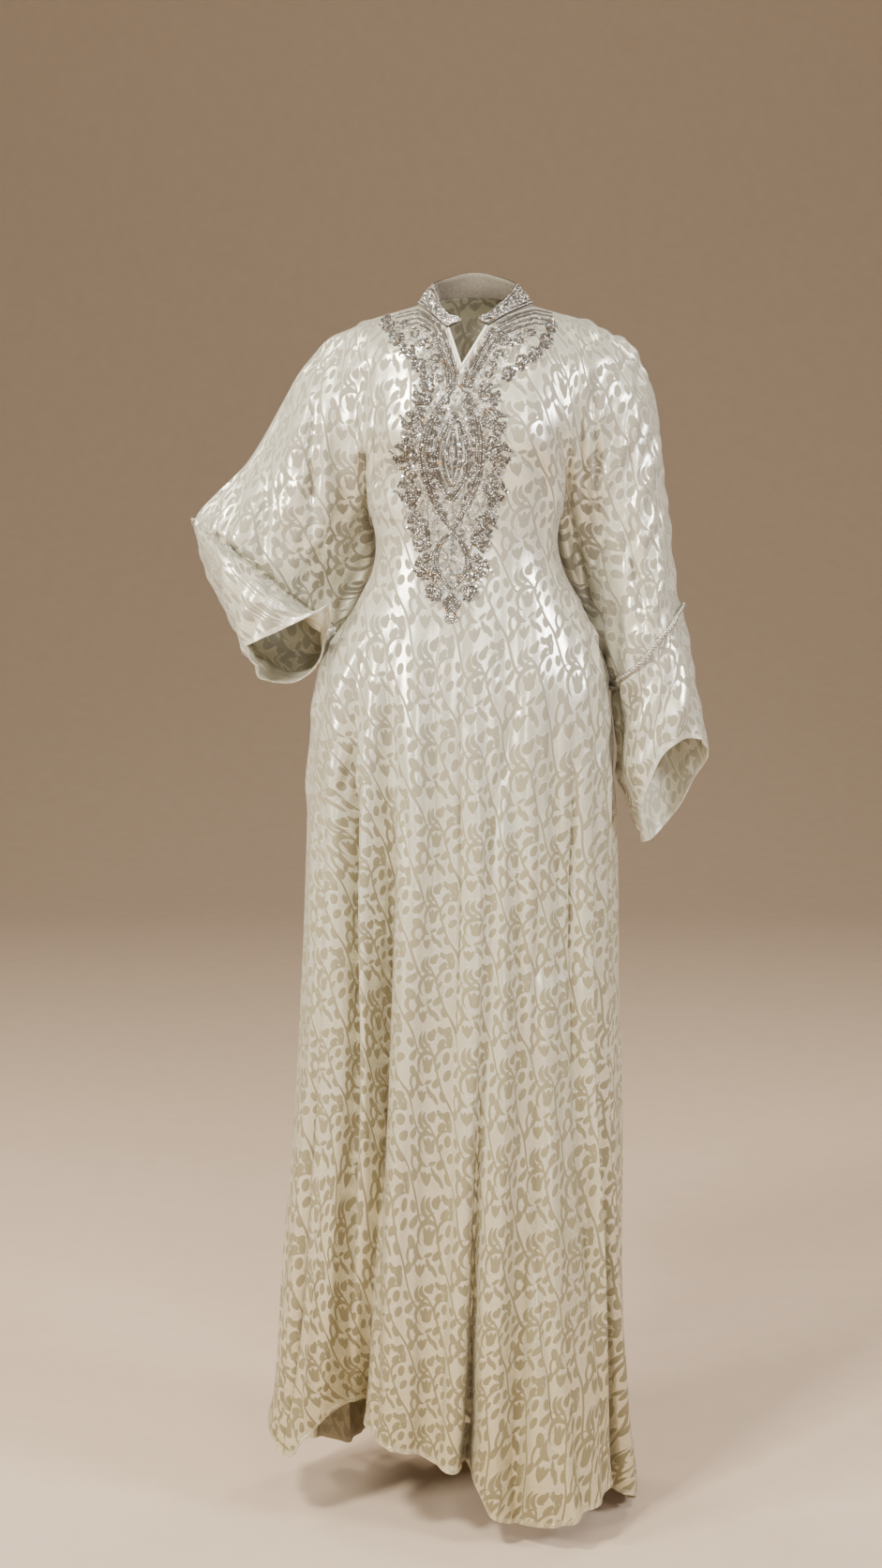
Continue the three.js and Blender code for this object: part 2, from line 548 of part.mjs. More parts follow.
// A tube of `sides` sides whose middle runs through `points`, with `ups` square to it at each point.
function tubeOn(points, ups, radius, sides, closed) {
  const count = points.length;
  const ring = points.map((p, i) => {
    const next = points[closed ? (i + 1) % count : Math.min(i + 1, count - 1)];
    const last = points[closed ? (i + count - 1) % count : Math.max(i - 1, 0)];
    const along = next.clone().sub(last).normalize();
    const up = ups[i].clone().addScaledVector(along, -ups[i].dot(along)).normalize();
    const aside = along.cross(up);
    return Array.from({ length: sides }, (_, k) => {
      const turn = (2 * Math.PI * k) / sides;
      const spoke = up.clone().multiplyScalar(Math.cos(turn)).addScaledVector(aside, Math.sin(turn));
      return p.clone().addScaledVector(spoke, radius);
    });
  });
  const triangles = [];
  for (let i = 0; i < (closed ? count : count - 1); i++)
    for (let k = 0; k < sides; k++) {
      const j = (i + 1) % count;
      const m = (k + 1) % sides;
      const [a, b, c, d] = [i * sides + k, i * sides + m, j * sides + m, j * sides + k];
      triangles.push(a, b, c, a, c, d);
    }
  if (!closed)
    for (let k = 1; k + 1 < sides; k++) {
      const end = (count - 1) * sides;
      triangles.push(0, k + 1, k, end, end + k, end + k + 1);
    }
  return geometryOf(ring.flat(), triangles);
}

// A braid laid on the outside of a sleeve's seam ring.
const BRAID_RADIUS = 1.8;
const BRAID_GAP = 0.9;
function braid(loop) {
  const lift = WALL / 2 + BRAID_RADIUS + BRAID_GAP;
  const points = loop.map((v) => cloth.points[v].clone().addScaledVector(normals[v], lift));
  return tubeOn(points, loop.map((v) => normals[v]), BRAID_RADIUS, 5, true);
}

// The notch binding: a thin roll along each cut edge of the notch, in the plane of the cloth.
const BINDING_RADIUS = 1.5;
const BINDING_GAP = 0.45;
function notchBinding(fromX, toX, stopShort) {
  const run = grids.front.torso
    .map((column) => column[0])
    .filter((v) => cloth.points[v].x > fromX - 0.01 && cloth.points[v].x < toX + 0.01);
  const [start, end] = [cloth.points[run[0]], cloth.points[run.at(-1)]];
  const along = end.clone().sub(start).normalize();
  const away = BINDING_RADIUS + BINDING_GAP;
  const points = run.map((v) => {
    const inward = along.clone().cross(normals[v]).normalize();
    return cloth.points[v].clone().addScaledVector(inward, inward.z > 0 ? away : -away);
  });
  const [low, high] = start.z < end.z ? [0, points.length - 1] : [points.length - 1, 0];
  points[low].lerp(points[low ? low - 1 : 1], stopShort);
  points[high].lerp(points[high ? high - 1 : 1], 0.15);
  return tubeOn(points, run.map((v) => normals[v]), BINDING_RADIUS, 6, false);
}

// ---- Collar ---------------------------------------------------------------------------------
// The stand collar follows the neckline from one side of the notch round the back to the other. By
// angle, as in HEM: how far it rises and how far it leans in. Each end runs on to a free tip.
const COLLAR_WALL = 3;
const COLLAR_GAP = 0.5;
const COLLAR_ROWS = 3;
const COLLAR = [
  { angle: 0, rise: 25, lean: 22 },
  { angle: 30, rise: 19, lean: 20 },
  { angle: 55, rise: 14, lean: 15 },
  { angle: 80, rise: 12, lean: 8 },
  { angle: 115, rise: 14, lean: 8 },
  { angle: 130, rise: 13, lean: 14 },
  { angle: 150, rise: 19, lean: 20 },
  { angle: 180, rise: 25, lean: 22 },
  { angle: 215, rise: 27, lean: 16 },
  { angle: 270, rise: 29, lean: 10 },
  { angle: 325, rise: 27, lean: 16 },
  { angle: 360, rise: 25, lean: 22 },
];
const COLLAR_TIPS = [
  { x: -18, y: -77, z: -5, tx: -17.5, ty: -75, tz: -1.5 },
  { x: 3, y: -77, z: -3, tx: 4, ty: -75, tz: 1.5 },
];

// The seam line's points from the notch's right corner round the back to its left corner.
function necklinePoints() {
  const at = (grid, from, to) =>
    grid
      .map((column) => column[0])
      .filter((v) => cloth.points[v].x > from - 0.01 && cloth.points[v].x < to + 0.01);
  const rightFront = at(grids.front.torso, -NECK_HALF, -34.5).reverse();
  const behind = at(grids.back.torso, -NECK_HALF, NECK_HALF).slice(1, -1);
  const leftFront = at(grids.front.torso, 14, NECK_HALF).reverse();
  return [...rightFront, ...behind, ...leftFront];
}

function collar() {
  const stations = necklinePoints().map((v) => {
    const p = cloth.points[v];
    const angle = ((Math.atan2(-p.y, p.x) * 180) / Math.PI + 360) % 360;
    const out = new THREE.Vector3(p.x, p.y, 0).normalize();
    const up = new THREE.Vector3(0, 0, readTable(COLLAR, "angle", "rise", angle));
    up.addScaledVector(out, -readTable(COLLAR, "angle", "lean", angle));
    // The foot stands just high enough for its outer corner to clear the cloth it leans over.
    const tilt = Math.max(0.1, normals[v].dot(up.clone().normalize()));
    const over = (COLLAR_WALL / 2) * Math.sqrt(1 - tilt * tilt);
    const foot = Math.max(COLLAR_GAP, (WALL / 2 + COLLAR_GAP - over) / tilt);
    const low = p.clone().addScaledVector(up.clone().normalize(), foot);
    return { low, high: low.clone().add(up) };
  });
  const tips = COLLAR_TIPS.map((t) => ({
    low: new THREE.Vector3(t.x, t.y, t.z),
    high: new THREE.Vector3(t.tx, t.ty, t.tz),
  }));
  const all = [tips[0], ...stations, tips[1]];
  const outer = [];
  const inner = [];
  all.forEach(({ low, high }, i) => {
    const next = all[Math.min(i + 1, all.length - 1)].low;
    const last = all[Math.max(i - 1, 0)].low;
    const face = next.clone().sub(last).cross(high.clone().sub(low)).normalize();
    if (face.dot(new THREE.Vector3(low.x, low.y, 0)) < 0) face.negate();
    for (let r = 0; r <= COLLAR_ROWS; r++) {
      const p = low.clone().lerp(high, r / COLLAR_ROWS);
      outer.push(p.clone().addScaledVector(face, COLLAR_WALL / 2));
      inner.push(p.clone().addScaledVector(face, -COLLAR_WALL / 2));
    }
  });
  const wide = COLLAR_ROWS + 1;
  const n = outer.length;
  const triangles = [];
  const quad = (a, b, c, d) => triangles.push(a, b, c, a, c, d);
  for (let i = 0; i + 1 < all.length; i++) {
    for (let r = 0; r < COLLAR_ROWS; r++) {
      const a = i * wide + r;
      quad(a, a + 1, a + wide + 1, a + wide);
      quad(a + n, a + wide + n, a + wide + 1 + n, a + 1 + n);
    }
    const [bottom, top] = [i * wide, i * wide + COLLAR_ROWS];
    quad(bottom, bottom + wide, bottom + wide + n, bottom + n);
    quad(top, top + n, top + wide + n, top + wide);
  }
  for (let r = 0; r < COLLAR_ROWS; r++) {
    quad(r, r + n, r + 1 + n, r + 1);
    const end = (all.length - 1) * wide + r;
    quad(end, end + 1, end + 1 + n, end + n);
  }
  return geometryOf([...outer, ...inner], triangles);
}

// ---- Beaded applique ------------------------------------------------------------------------
// Outline of the applique seen from the front: a yoke round the neckline with a spray on each
// shoulder, and a medallion that tapers to a finial. Half-widths of the medallion at each height.
const APPLIQUE_WALL = 1.6;
const APPLIQUE_GAP = 0.35;
const MEDALLION = [
  { z: -82, axis: -21, half: 37 },
  { z: -97, axis: -23, half: 52 },
  { z: -125, axis: -26, half: 64 },
  { z: -165, axis: -29, half: 77 },
  { z: -205, axis: -29, half: 69 },
  { z: -252, axis: -29, half: 59 },
  { z: -272, axis: -29, half: 46 },
  { z: -302, axis: -29, half: 40 },
  { z: -322, axis: -29, half: 27 },
  { z: -338, axis: -29, half: 13 },
  { z: -357, axis: -29, half: 3 },
];
const YOKE_RIGHT = [[-116, -4], [-117, -16], [-98, -24], [-86, -36], [-72, -50], [-64, -68]];
const YOKE_LEFT = [[21, -72], [34, -58], [46, -46], [66, -36], [92, -27], [96, -8]];
const SCALLOP = { deep: 3.5, pitch: 17 };
function appliqueOutline() {
  const side = (sign) => {
    const points = [];
    for (let z = MEDALLION[0].z; z > MEDALLION.at(-1).z; z -= 6) {
      const wave = SCALLOP.deep * Math.abs(Math.sin((Math.PI * z) / SCALLOP.pitch)) - SCALLOP.deep / 2;
      const half = readTable(MEDALLION, "z", "half", z) + wave;
      points.push([readTable(MEDALLION, "z", "axis", z) + sign * Math.max(3, half), z]);
    }
    return points;
  };
  const tip = MEDALLION.at(-1);
  const outline = [...YOKE_RIGHT, ...side(-1), [tip.axis, tip.z], ...side(1).reverse(), ...YOKE_LEFT];
  const above = 60;
  outline.push([96, above], [-116, above]);
  return new THREE.Shape(outline.map(([x, z]) => new THREE.Vector2(x, z)));
}

function solidOf(geometry) {
  const plain = geometry.clone();
  plain.deleteAttribute("normal");
  plain.deleteAttribute("uv");
  const merged = mergeVertices(plain, 1e-4);
  return new wasm.Manifold(
    new wasm.Mesh({
      numProp: 3,
      vertProperties: merged.attributes.position.array,
      triVerts: new Uint32Array(merged.index.array),
    }),
  );
}

// The applique is the front panel's own faces moved out, cut to the outline.
function applique() {
  const low = WALL / 2 + APPLIQUE_GAP;
  const near = facesOf("front").filter(({ quad }) =>
    quad.every((i) => {
      const p = cloth.points[i];
      return p.x > -125 && p.x < 99 && p.z > -420 && p.y < 6;
    }),
  );
  const slab = solidOf(wallOver(near, low, low + APPLIQUE_WALL, 1.2));
  const prism = new THREE.ExtrudeGeometry(appliqueOutline(), { depth: 210, bevelEnabled: false });
  prism.rotateX(Math.PI / 2); // the outline's height becomes z and its depth runs towards -Y
  const cut = slab.intersect(solidOf(prism));
  const largest = cut.decompose().sort((a, b) => b.volume() - a.volume())[0];
  const mesh = largest.getMesh();
  const g = new THREE.BufferGeometry();
  g.setAttribute("position", new THREE.BufferAttribute(mesh.vertProperties, 3));
  g.setIndex(new THREE.BufferAttribute(mesh.triVerts, 1));
  return g;
}

// ---- The garment ----------------------------------------------------------------------------
const satin = new THREE.MeshStandardMaterial({ color: 0xd9d3c3, roughness: 0.42, metalness: 0 });
const beading = new THREE.MeshStandardMaterial({ color: 0xa79c8e, roughness: 0.35, metalness: 0.5 });
const silver = new THREE.MeshStandardMaterial({ color: 0xb5ada2, roughness: 0.35, metalness: 0.6 });
const piping = new THREE.MeshStandardMaterial({ color: 0xe9e5da, roughness: 0.5, metalness: 0 });

const kaftan = new THREE.Group();
function addNode(name, geometry, material) {
  const mesh = new THREE.Mesh(geometry, material);
  mesh.name = name;
  kaftan.add(mesh);
}
for (const panel of ["front", "back", "lower_sleeve_left", "lower_sleeve_right"])
  addNode(panel, wallOver(facesOf(panel), -WALL / 2, WALL / 2), satin);
addNode("collar", collar(), beading);
addNode("notch_binding_right", notchBinding(-34.5, -18, 0.9), piping);
addNode("notch_binding_left", notchBinding(-18, 14, 0.3), piping);
addNode("applique", applique(), beading);
addNode("braid_left", braid(braidLoops.left), silver);
addNode("braid_right", braid(braidLoops.right), silver);

export default kaftan;
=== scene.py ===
"""Ivory kaftan of burnt-out silk satin with a beaded collar and bib, worn and hollow.

The cloth is one surface worked out from tables of sizes, cut into the maker's panels. Sizes are in
millimetres until a mesh is made, which is in metres. +Z is up, the front faces -Y and +X is the
wearer's left. Angles round the skirt are in degrees: 0 the wearer's left, 90 the front, 270 the back.
"""

import logging
import math
from dataclasses import dataclass
from enum import Enum
from typing import Any, NamedTuple, Sequence

import bpy
import numpy as np
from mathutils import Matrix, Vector
from mathutils.bvhtree import BVHTree


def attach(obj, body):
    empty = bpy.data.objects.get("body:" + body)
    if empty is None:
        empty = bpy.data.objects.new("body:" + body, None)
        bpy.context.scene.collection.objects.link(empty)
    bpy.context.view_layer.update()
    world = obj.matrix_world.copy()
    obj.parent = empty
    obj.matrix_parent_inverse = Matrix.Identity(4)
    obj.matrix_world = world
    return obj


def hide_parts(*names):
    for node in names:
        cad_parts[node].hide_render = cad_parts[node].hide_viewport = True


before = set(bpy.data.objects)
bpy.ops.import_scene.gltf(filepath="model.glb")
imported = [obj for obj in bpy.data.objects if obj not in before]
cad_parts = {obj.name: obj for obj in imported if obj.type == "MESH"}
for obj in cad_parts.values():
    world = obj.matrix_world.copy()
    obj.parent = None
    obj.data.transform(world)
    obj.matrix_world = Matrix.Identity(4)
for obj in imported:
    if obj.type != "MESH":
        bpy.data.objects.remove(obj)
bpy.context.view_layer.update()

Array = np.ndarray
log = logging.getLogger("kaftan")
MM = 0.001


# ---- Curves and tables ----


def smooth(t: Array) -> Array:
    """Ease from 0 to 1: t squared times (3 - 2t), held flat outside 0 to 1."""
    t = np.clip(t, 0.0, 1.0)
    return t * t * (3 - 2 * t)


def mix(a: Any, b: Any, t: Any) -> Any:
    """Straight blend from a to b."""
    return a + (b - a) * t


@dataclass(frozen=True)
class Table:
    """Rows of named columns, read between the rows with a monotone cubic."""

    columns: tuple[str, ...]
    rows: tuple[tuple[float, ...], ...]

    def read(self, name: str, at: Any) -> Array:
        """Read one column at values of the first.

        Each tangent is the harmonic mean of the slopes on its two sides, or zero where they differ
        in sign, so a curve never passes the values of its rows.

        Args:
            name: Column to read.
            at: Values of the first column.
        Returns:
            The column's value at each of them.
        """
        rows = np.array(sorted(self.rows), float)
        x, y = rows[:, 0], rows[:, self.columns.index(name)]
        slope = np.diff(y) / np.diff(x)
        a, b = slope[:-1], slope[1:]
        tangent = np.zeros_like(y)
        tangent[1:-1] = np.where(a * b > 0, 2 * a * b / np.where(a + b == 0, 1, a + b), 0)
        at = np.clip(np.asarray(at, float), x[0], x[-1])
        i = np.clip(np.searchsorted(x, at, side="right") - 1, 0, len(x) - 2)
        h = x[i + 1] - x[i]
        t = (at - x[i]) / h
        return (
            y[i] * (1 + 2 * t) * (1 - t) ** 2
            + h * tangent[i] * t * (1 - t) ** 2
            + y[i + 1] * t * t * (3 - 2 * t)
            + h * tangent[i + 1] * t * t * (t - 1)
        )


def unit(vectors: Array) -> Array:
    """Vectors scaled to length one."""
    return vectors / np.maximum(np.linalg.norm(vectors, axis=-1, keepdims=True), 1e-9)


def run_length(points: Array, axis: int = 0) -> Array:
    """Distance walked along an axis of a line or grid of points, from its first row.

    Args:
        points: Points of the line or grid.
        axis: Axis to walk along.
    Returns:
        The distance at each point.
    """
    steps = np.linalg.norm(np.diff(points, axis=axis), axis=-1)
    walked = np.cumsum(steps, axis=axis)
    return np.concatenate([np.zeros_like(np.take(walked, [0], axis)), walked], axis)


def read_line(line: Array, places: Array, at: Array) -> Array:
    """Points of a line at places between those of its own points."""
    return np.stack([np.interp(at, places, line[:, k]) for k in range(line.shape[1])], -1)


def waves(points: Array, lengths: Sequence[float], seed: int, count: int = 14) -> Array:
    """Smooth uneven ripple: a sum of sine waves with seeded directions and phases.

    Args:
        points: Points, as (..., 3).
        lengths: Shortest wavelength along x, y and z.
        seed: Number that fixes the directions and phases.
        count: Number of waves.
    Returns:
        Heights of about -1 to 1.
    """
    rng = np.random.default_rng(seed)
    steps = rng.uniform(-1, 1, (count, 3)) / np.array(lengths)
    phase = rng.uniform(0, 2 * np.pi, count)
    return np.sin(2 * np.pi * points @ steps.T + phase).sum(-1) / math.sqrt(count)


class Slack(NamedTuple):
    """Waves of slack cloth: their height, shortest lengths along x, y and z, and seed."""

    height: float
    lengths: tuple[float, float, float]
    seed: int

    def over(self, points: Array) -> Array:
        """Height of the waves at points."""
        return self.height * waves(points, self.lengths, self.seed)


SKIRT_SLACK = Slack(3.0, (58, 60, 760), 3)
SKIRT_FINE_SLACK = Slack(1.1, (30, 34, 480), 13)
SLEEVE_SLACK = Slack(2.5, (24, 40, 150), 5)
CHEST_SLACK = Slack(0.6, (40, 60, 110), 8)
EDGE_SLACK = Slack(1.3, (24, 24, 90), 11)
EDGE_REACH = 14.0  # distance from a cut edge over which its waver dies away
SLEEVE_LEAN = 0.35  # slant of the sleeves' waves


# ---- Body ----

UNDERARM_Z = -240.0
MID_FOLD_Z = -700.0
HEM_FOLD_Z = -1440.0
SIDE_Y = 5.0
RING_POWER = 2.4
SHOULDER_Y = 10.0
SHOULDER_ROUND = 62.0
NECK_HALF = 70.0
NECK_SIDE_Z = 15.0
NECK_BACK_RISE = 11.0
SHOULDER_SLOPE = 0.28
NORMAL_STEP = 2.0  # degrees on each side over which a section's normal is taken
BACK_START = 180.001  # the least angle that is read from the back's depths
SEAM_FADE = 9.0  # degrees from a side seam over which the folds fade out
FINE_WANDER = 1.1  # degrees by which a fine fold wanders
FINE_SWELL = 0.35  # share by which its depth swells and fades

BODY = Table(
    ("z", "left", "right", "front", "back"),
    (
        (60, -200, 178, -60, 62),
        (0, -190, 168, -78, 74),
        (-60, -180, 158, -90, 84),
        (-130, -165, 143, -100, 90),
        (-180, -149, 127, -99, 88),
        (-215, -136, 114, -96, 85),
        (-240, -127, 105, -94, 82),
        (-270, -121, 101, -92, 80),
        (-300, -124, 107, -92, 80),
        (-355, -151, 135, -98, 92),
        (-413, -184, 156, -106, 108),
        (-450, -195, 167, -110, 116),
        (-530, -203, 172, -113, 122),
        (-650, -208, 178, -114, 120),
        (-890, -220, 182, -117, 114),
        (-1070, -234, 187, -122, 120),
        (-1250, -247, 194, -128, 130),
        (-1360, -256, 200, -132, 138),
        (-1410, -266, 204, -134, 142),
        (-1500, -268, 214, -136, 148),
    ),
)

HEM = Table(
    ("angle", "z"),
    (
        (0, -1499), (10, -1500), (22, -1480), (37, -1448), (45, -1458), (52, -1463), (60, -1476),
        (70, -1484), (78, -1472), (81, -1455), (85, -1420), (89, -1420), (99, -1403), (108, -1392),
        (117, -1384), (121, -1380), (126, -1366), (134, -1362), (141, -1392), (149, -1424),
        (160, -1426), (170, -1414), (180, -1402), (192, -1408), (202, -1440), (216, -1470),
        (235, -1478), (270, -1480), (315, -1480), (345, -1490), (360, -1499),
    ),
)


class Fold(NamedTuple):
    """A skirt fold: its angle at the top, at mid height and at the hem, the height it starts at,
    its half-widths towards smaller and larger angles, its depths, and the power by which it grows
    towards the hem. A ridge is negative."""

    top: float
    mid: float
    hem: float
    start: float
    near: float
    far: float
    at_mid: float
    at_hem: float
    growth: float = 1.6


FOLDS = (
    Fold(127, 119, 125.5, -300, 14, 30, 15, 112),
    Fold(144, 142, 146, -430, 20, 20, 15, 6),
    Fold(59, 82, 85, -250, 6, 4.6, 8, 64, 4.5),
    Fold(92, 95, 97, -380, 16, 16, 10, 12),
    Fold(58, 60, 68, -640, 17, 17, 5, 22),
    Fold(30, 30, 29, -560, 13, 13, 8, 58),
    Fold(46, 47, 46, -470, 20, 20, 9, 10),
    Fold(132, 108, 106, -236, 7, 7, 6, 3),
    Fold(58, 56, 55, -800, 66, 62, 0, -66),
    Fold(100, 106, 104, -800, 40, 30, 0, -10),
    Fold(214, 208, 206, -420, 22, 18, 12, 52),
    Fold(236, 233, 231, -120, 20, 24, 16, 40),
    Fold(258, 257, 255, -90, 17, 19, 12, 56),
    Fold(281, 282, 284, -140, 21, 18, 15, 44),
    Fold(305, 307, 309, -110, 18, 21, 12, 58),
    Fold(330, 333, 334, -460, 18, 18, 10, 40),
    Fold(245, 244, 243, -500, 30, 30, -4, -16),
    Fold(294, 295, 296, -500, 30, 30, -4, -18),
)

# Narrower creases than the solids carry.
FINE_FOLDS = (
    Fold(138, 136, 133, -320, 8, 11, 25, 32),
    Fold(120, 118, 117, -300, 8, 10, 24, 27),
    Fold(147, 146, 144, -420, 8, 8, -7, -9),
    Fold(128, 127, 125, -330, 9, 9, -10, -10),
    Fold(110, 108, 109, -330, 9, 9, -8, -8),
    Fold(78, 75, 76, -280, 9, 9, -8, -10),
    Fold(104, 101, 101, -250, 8, 10, 9, 8),
    Fold(90, 91, 93, -300, 5, 6, 7, 7),
    Fold(71, 69, 70, -300, 8, 8, 9, 8),
    Fold(64, 62, 60, -330, 5, 6, 7, 8),
    Fold(54, 52, 51, -360, 9, 9, 10, 10),
    Fold(44, 43, 42, -400, 6, 7, 9, 11),
    Fold(35, 35, 34, -430, 7, 7, -8, -10),
    Fold(26, 25, 24, -480, 7, 8, 10, 13),
    Fold(15, 14, 13, -500, 7, 7, 7, 10),
    Fold(86, 84, 89, -262, 6, 6, -6, -4),
    Fold(153, 154, 156, -420, 7, 8, 10, 13),
    Fold(164, 164, 164, -520, 7, 7, 7, 11),
    Fold(196, 198, 196, -470, 7, 8, 7, 11),
    Fold(224, 221, 219, -330, 8, 8, 8, 11),
    Fold(248, 247, 249, -330, 7, 9, 8, 11),
    Fold(269, 270, 270, -280, 8, 7, 9, 12),
    Fold(292, 294, 297, -330, 8, 7, 7, 11),
    Fold(318, 320, 322, -360, 8, 8, 8, 12),
    Fold(346, 347, 346, -500, 8, 7, 7, 11),
)


def section(angle: Array, z: Array) -> Array:
    """Plain body section: a squared-off oval through the four sides of the body's table.

    x is the middle plus the half-width times cos(angle), and y leaves the side seams by
    (1 - |cos|^p)^(1/p) of the depth.

    Args:
        angle: Angles in degrees.
        z: Heights.
    Returns:
        Points, as (..., 3).
    """
    across = np.cos(np.radians(angle))
    left, right = BODY.read("left", z), BODY.read("right", z)
    depth = np.where(angle <= 180, BODY.read("front", z), BODY.read("back", z)) - SIDE_Y
    x = (left + right) / 2 + (right - left) / 2 * across
    y = SIDE_Y + depth * np.maximum(0, 1 - np.abs(across) ** RING_POWER) ** (1 / RING_POWER)
    return np.stack(np.broadcast_arrays(x, y, z), -1)


def fold_offset(angle: Array, z: Array) -> Array:
    """Sum of the folds, outwards positive: each is -depth * exp(-(distance / half-width)^1.7).

    A fine fold also wanders by a degree and swells and fades by a third, over about a metre.

    Args:
        angle: Angles in degrees.
        z: Heights.
    Returns:
        Offsets in millimetres.
    """
    radius = (BODY.read("right", z) - BODY.read("left", z)) / 4
    radius = radius + (BODY.read("back", z) - BODY.read("front", z)) / 4
    low = np.clip((MID_FOLD_Z - z) / (MID_FOLD_Z - HEM_FOLD_Z), 0, 1)
    upper = z > MID_FOLD_Z
    total = np.zeros(np.broadcast(angle, z).shape)
    for number, f in enumerate(FOLDS + FINE_FOLDS):
        fine = number >= len(FOLDS)
        high = smooth((f.start - z) / max(60.0, f.start - MID_FOLD_Z))
        centre = np.where(upper, mix(f.top, f.mid, high), mix(f.mid, f.hem, low))
        centre = centre + fine * FINE_WANDER * np.sin(z / 150 + 2.4 * number)
        depth = np.where(upper, f.at_mid * high, mix(f.at_mid, f.at_hem, low**f.growth))
        depth = depth * (1 + fine * FINE_SWELL * np.sin(z / 190 + 1.7 * number))
        depth = np.where(z > f.start, 0, depth)
        across = (angle - centre) * np.pi * radius / 180
        reach = np.abs(across) / np.where(across < 0, f.near, f.far)
        total = total - depth * np.exp(-(reach**1.7))
    return total


def skirt(angle: Array, down: Array) -> Array:
    """Folded skirt: the plain section, moved along its outward normal by the folds.

    Args:
        angle: Angles in degrees.
        down: 0 at the underarm to 1 at the hem.
    Returns:
        Points, as (..., 3).
    """
    z = mix(UNDERARM_Z, HEM.read("z", angle), down)
    back = angle > 180
    ahead = section(np.minimum(np.where(back, 360, 180), angle + NORMAL_STEP), z)
    behind = section(np.maximum(np.where(back, BACK_START, 0), angle - NORMAL_STEP), z)
    along = ahead - behind
    along[..., 2] = 0
    along = unit(along)
    outward = np.stack([-along[..., 1], along[..., 0], np.zeros_like(z * angle)], -1)
    seam = np.abs((angle + 90) % 180 - 90)
    offset = fold_offset(angle, z) * smooth(seam / SEAM_FADE)
    return section(angle, z) + outward * offset[..., None]


class Crease(NamedTuple):
    """A soft trough on the chest or a sleeve, seen from the front: a curve bent towards its middle
    point, with a half-width and a depth. A ridge is negative, and `back` puts it behind."""

    x0: float
    z0: float
    x1: float
    z1: float
    x2: float
    z2: float
    width: float
    depth: float
    back: bool = False


CREASES = (
    Crease(-158, -50, -170, -150, -152, -285, 16, 13),
    Crease(-205, -80, -226, -170, -226, -262, 16, -8),
    Crease(-252, -130, -266, -185, -290, -238, 13, 9),
    Crease(103, -150, 120, -262, 162, -405, 10, 18),
    Crease(84, -150, 96, -262, 146, -385, 9, -12),
    Crease(158, -60, 166, -190, 186, -345, 13, 8),
    Crease(196, -70, 210, -200, 222, -340, 12, 7),
    Crease(-100, -150, -108, -200, -96, -255, 20, 16),
    Crease(82, -165, 84, -200, 74, -245, 15, 12),
    Crease(-185, -50, -200, -160, -190, -290, 18, 12, True),
    Crease(165, -50, 178, -190, 188, -340, 16, 12, True),
)

FINE_CREASES = (
    Crease(-128, -60, -140, -150, -128, -270, 7, 12),
    Crease(-190, -60, -204, -150, -196, -300, 6, 12),
    Crease(-222, -95, -238, -170, -236, -290, 5, 9.6),
    Crease(-240, -140, -262, -210, -262, -300, 6, 9.6),
    Crease(-270, -160, -290, -215, -318, -240, 5, 9.6),
    Crease(-170, -230, -180, -280, -190, -340, 6, 12),
    Crease(-205, -250, -215, -300, -222, -345, 6, 9.6),
    Crease(-118, -90, -122, -160, -116, -220, 7, 12),
    Crease(-60, -150, -78, -172, -104, -182, 6, 4.8),
    Crease(40, -150, 62, -172, 88, -186, 6, 4.8),
    Crease(120, -70, 128, -170, 150, -300, 7, 12),
    Crease(140, -80, 146, -200, 176, -380, 6, 14.4),
    Crease(178, -60, 186, -190, 200, -330, 6, 9.6),
    Crease(206, -60, 222, -190, 236, -330, 5, 7.2),
    Crease(116, -180, 130, -270, 160, -360, 5, -8),
    Crease(180, -240, 196, -320, 214, -380, 6, 9.6),
    Crease(-140, -70, -150, -160, -140, -280, 8, 12, True),
    Crease(-215, -80, -232, -170, -236, -280, 7, 12, True),
    Crease(-260, -140, -280, -210, -300, -260, 7, 12, True),
    Crease(-60, -60, -70, -140, -62, -230, 12, 6.4, True),
    Crease(48, -60, 58, -140, 50, -230, 12, 6.4, True),
    Crease(128, -70, 138, -190, 156, -330, 8, 12, True),
    Crease(196, -70, 212, -200, 226, -330, 7, 9.6, True),
)


def crease_offset(x: Array, z: Array, back: bool) -> Array:
    """Sum of the creases, outwards positive: -depth * exp(-(distance to the curve / width)^2).

    Args:
        x: x of each point.
        z: Its height.
        back: Whether this is the back half.
    Returns:
        Offsets in millimetres.
    """
    total = np.zeros(np.shape(x))
    for c in CREASES + FINE_CREASES:
        if c.back is not back:
            continue
        t = np.linspace(0, 1, 41)
        px = (1 - t) ** 2 * c.x0 + 2 * t * (1 - t) * c.x1 + t * t * c.x2
        pz = (1 - t) ** 2 * c.z0 + 2 * t * (1 - t) * c.z1 + t * t * c.z2
        distance = np.hypot(x[..., None] - px, z[..., None] - pz)
        nearest = distance.min(-1)
        taper = np.sin(np.pi * (0.12 + 0.76 * t[distance.argmin(-1)]))
        total = total - c.depth * taper * np.exp(-((nearest / c.width) ** 2))
    return total


OVER_NECK = 20.0  # rise of the shoulder line where it is carried on over the neck
BUST = {"rise": 20.0, "z": -142.0, "side": 74.0, "wide": 44.0, "above": 64.0, "below": 46.0}
TORSO_FADE = 70.0  # height above the underarm over which the chest's creases set in


def shoulder_z(x: Array) -> Array:
    """Height of the shoulder line, carried on over the neck.

    Args:
        x: x of each point.
    Returns:
        Heights.
    """
    beyond = np.abs(x) - NECK_HALF
    over = NECK_SIDE_Z + OVER_NECK * (1 - (x / NECK_HALF) ** 2)
    return np.where(beyond > 0, NECK_SIDE_Z - SHOULDER_SLOPE * beyond, over)


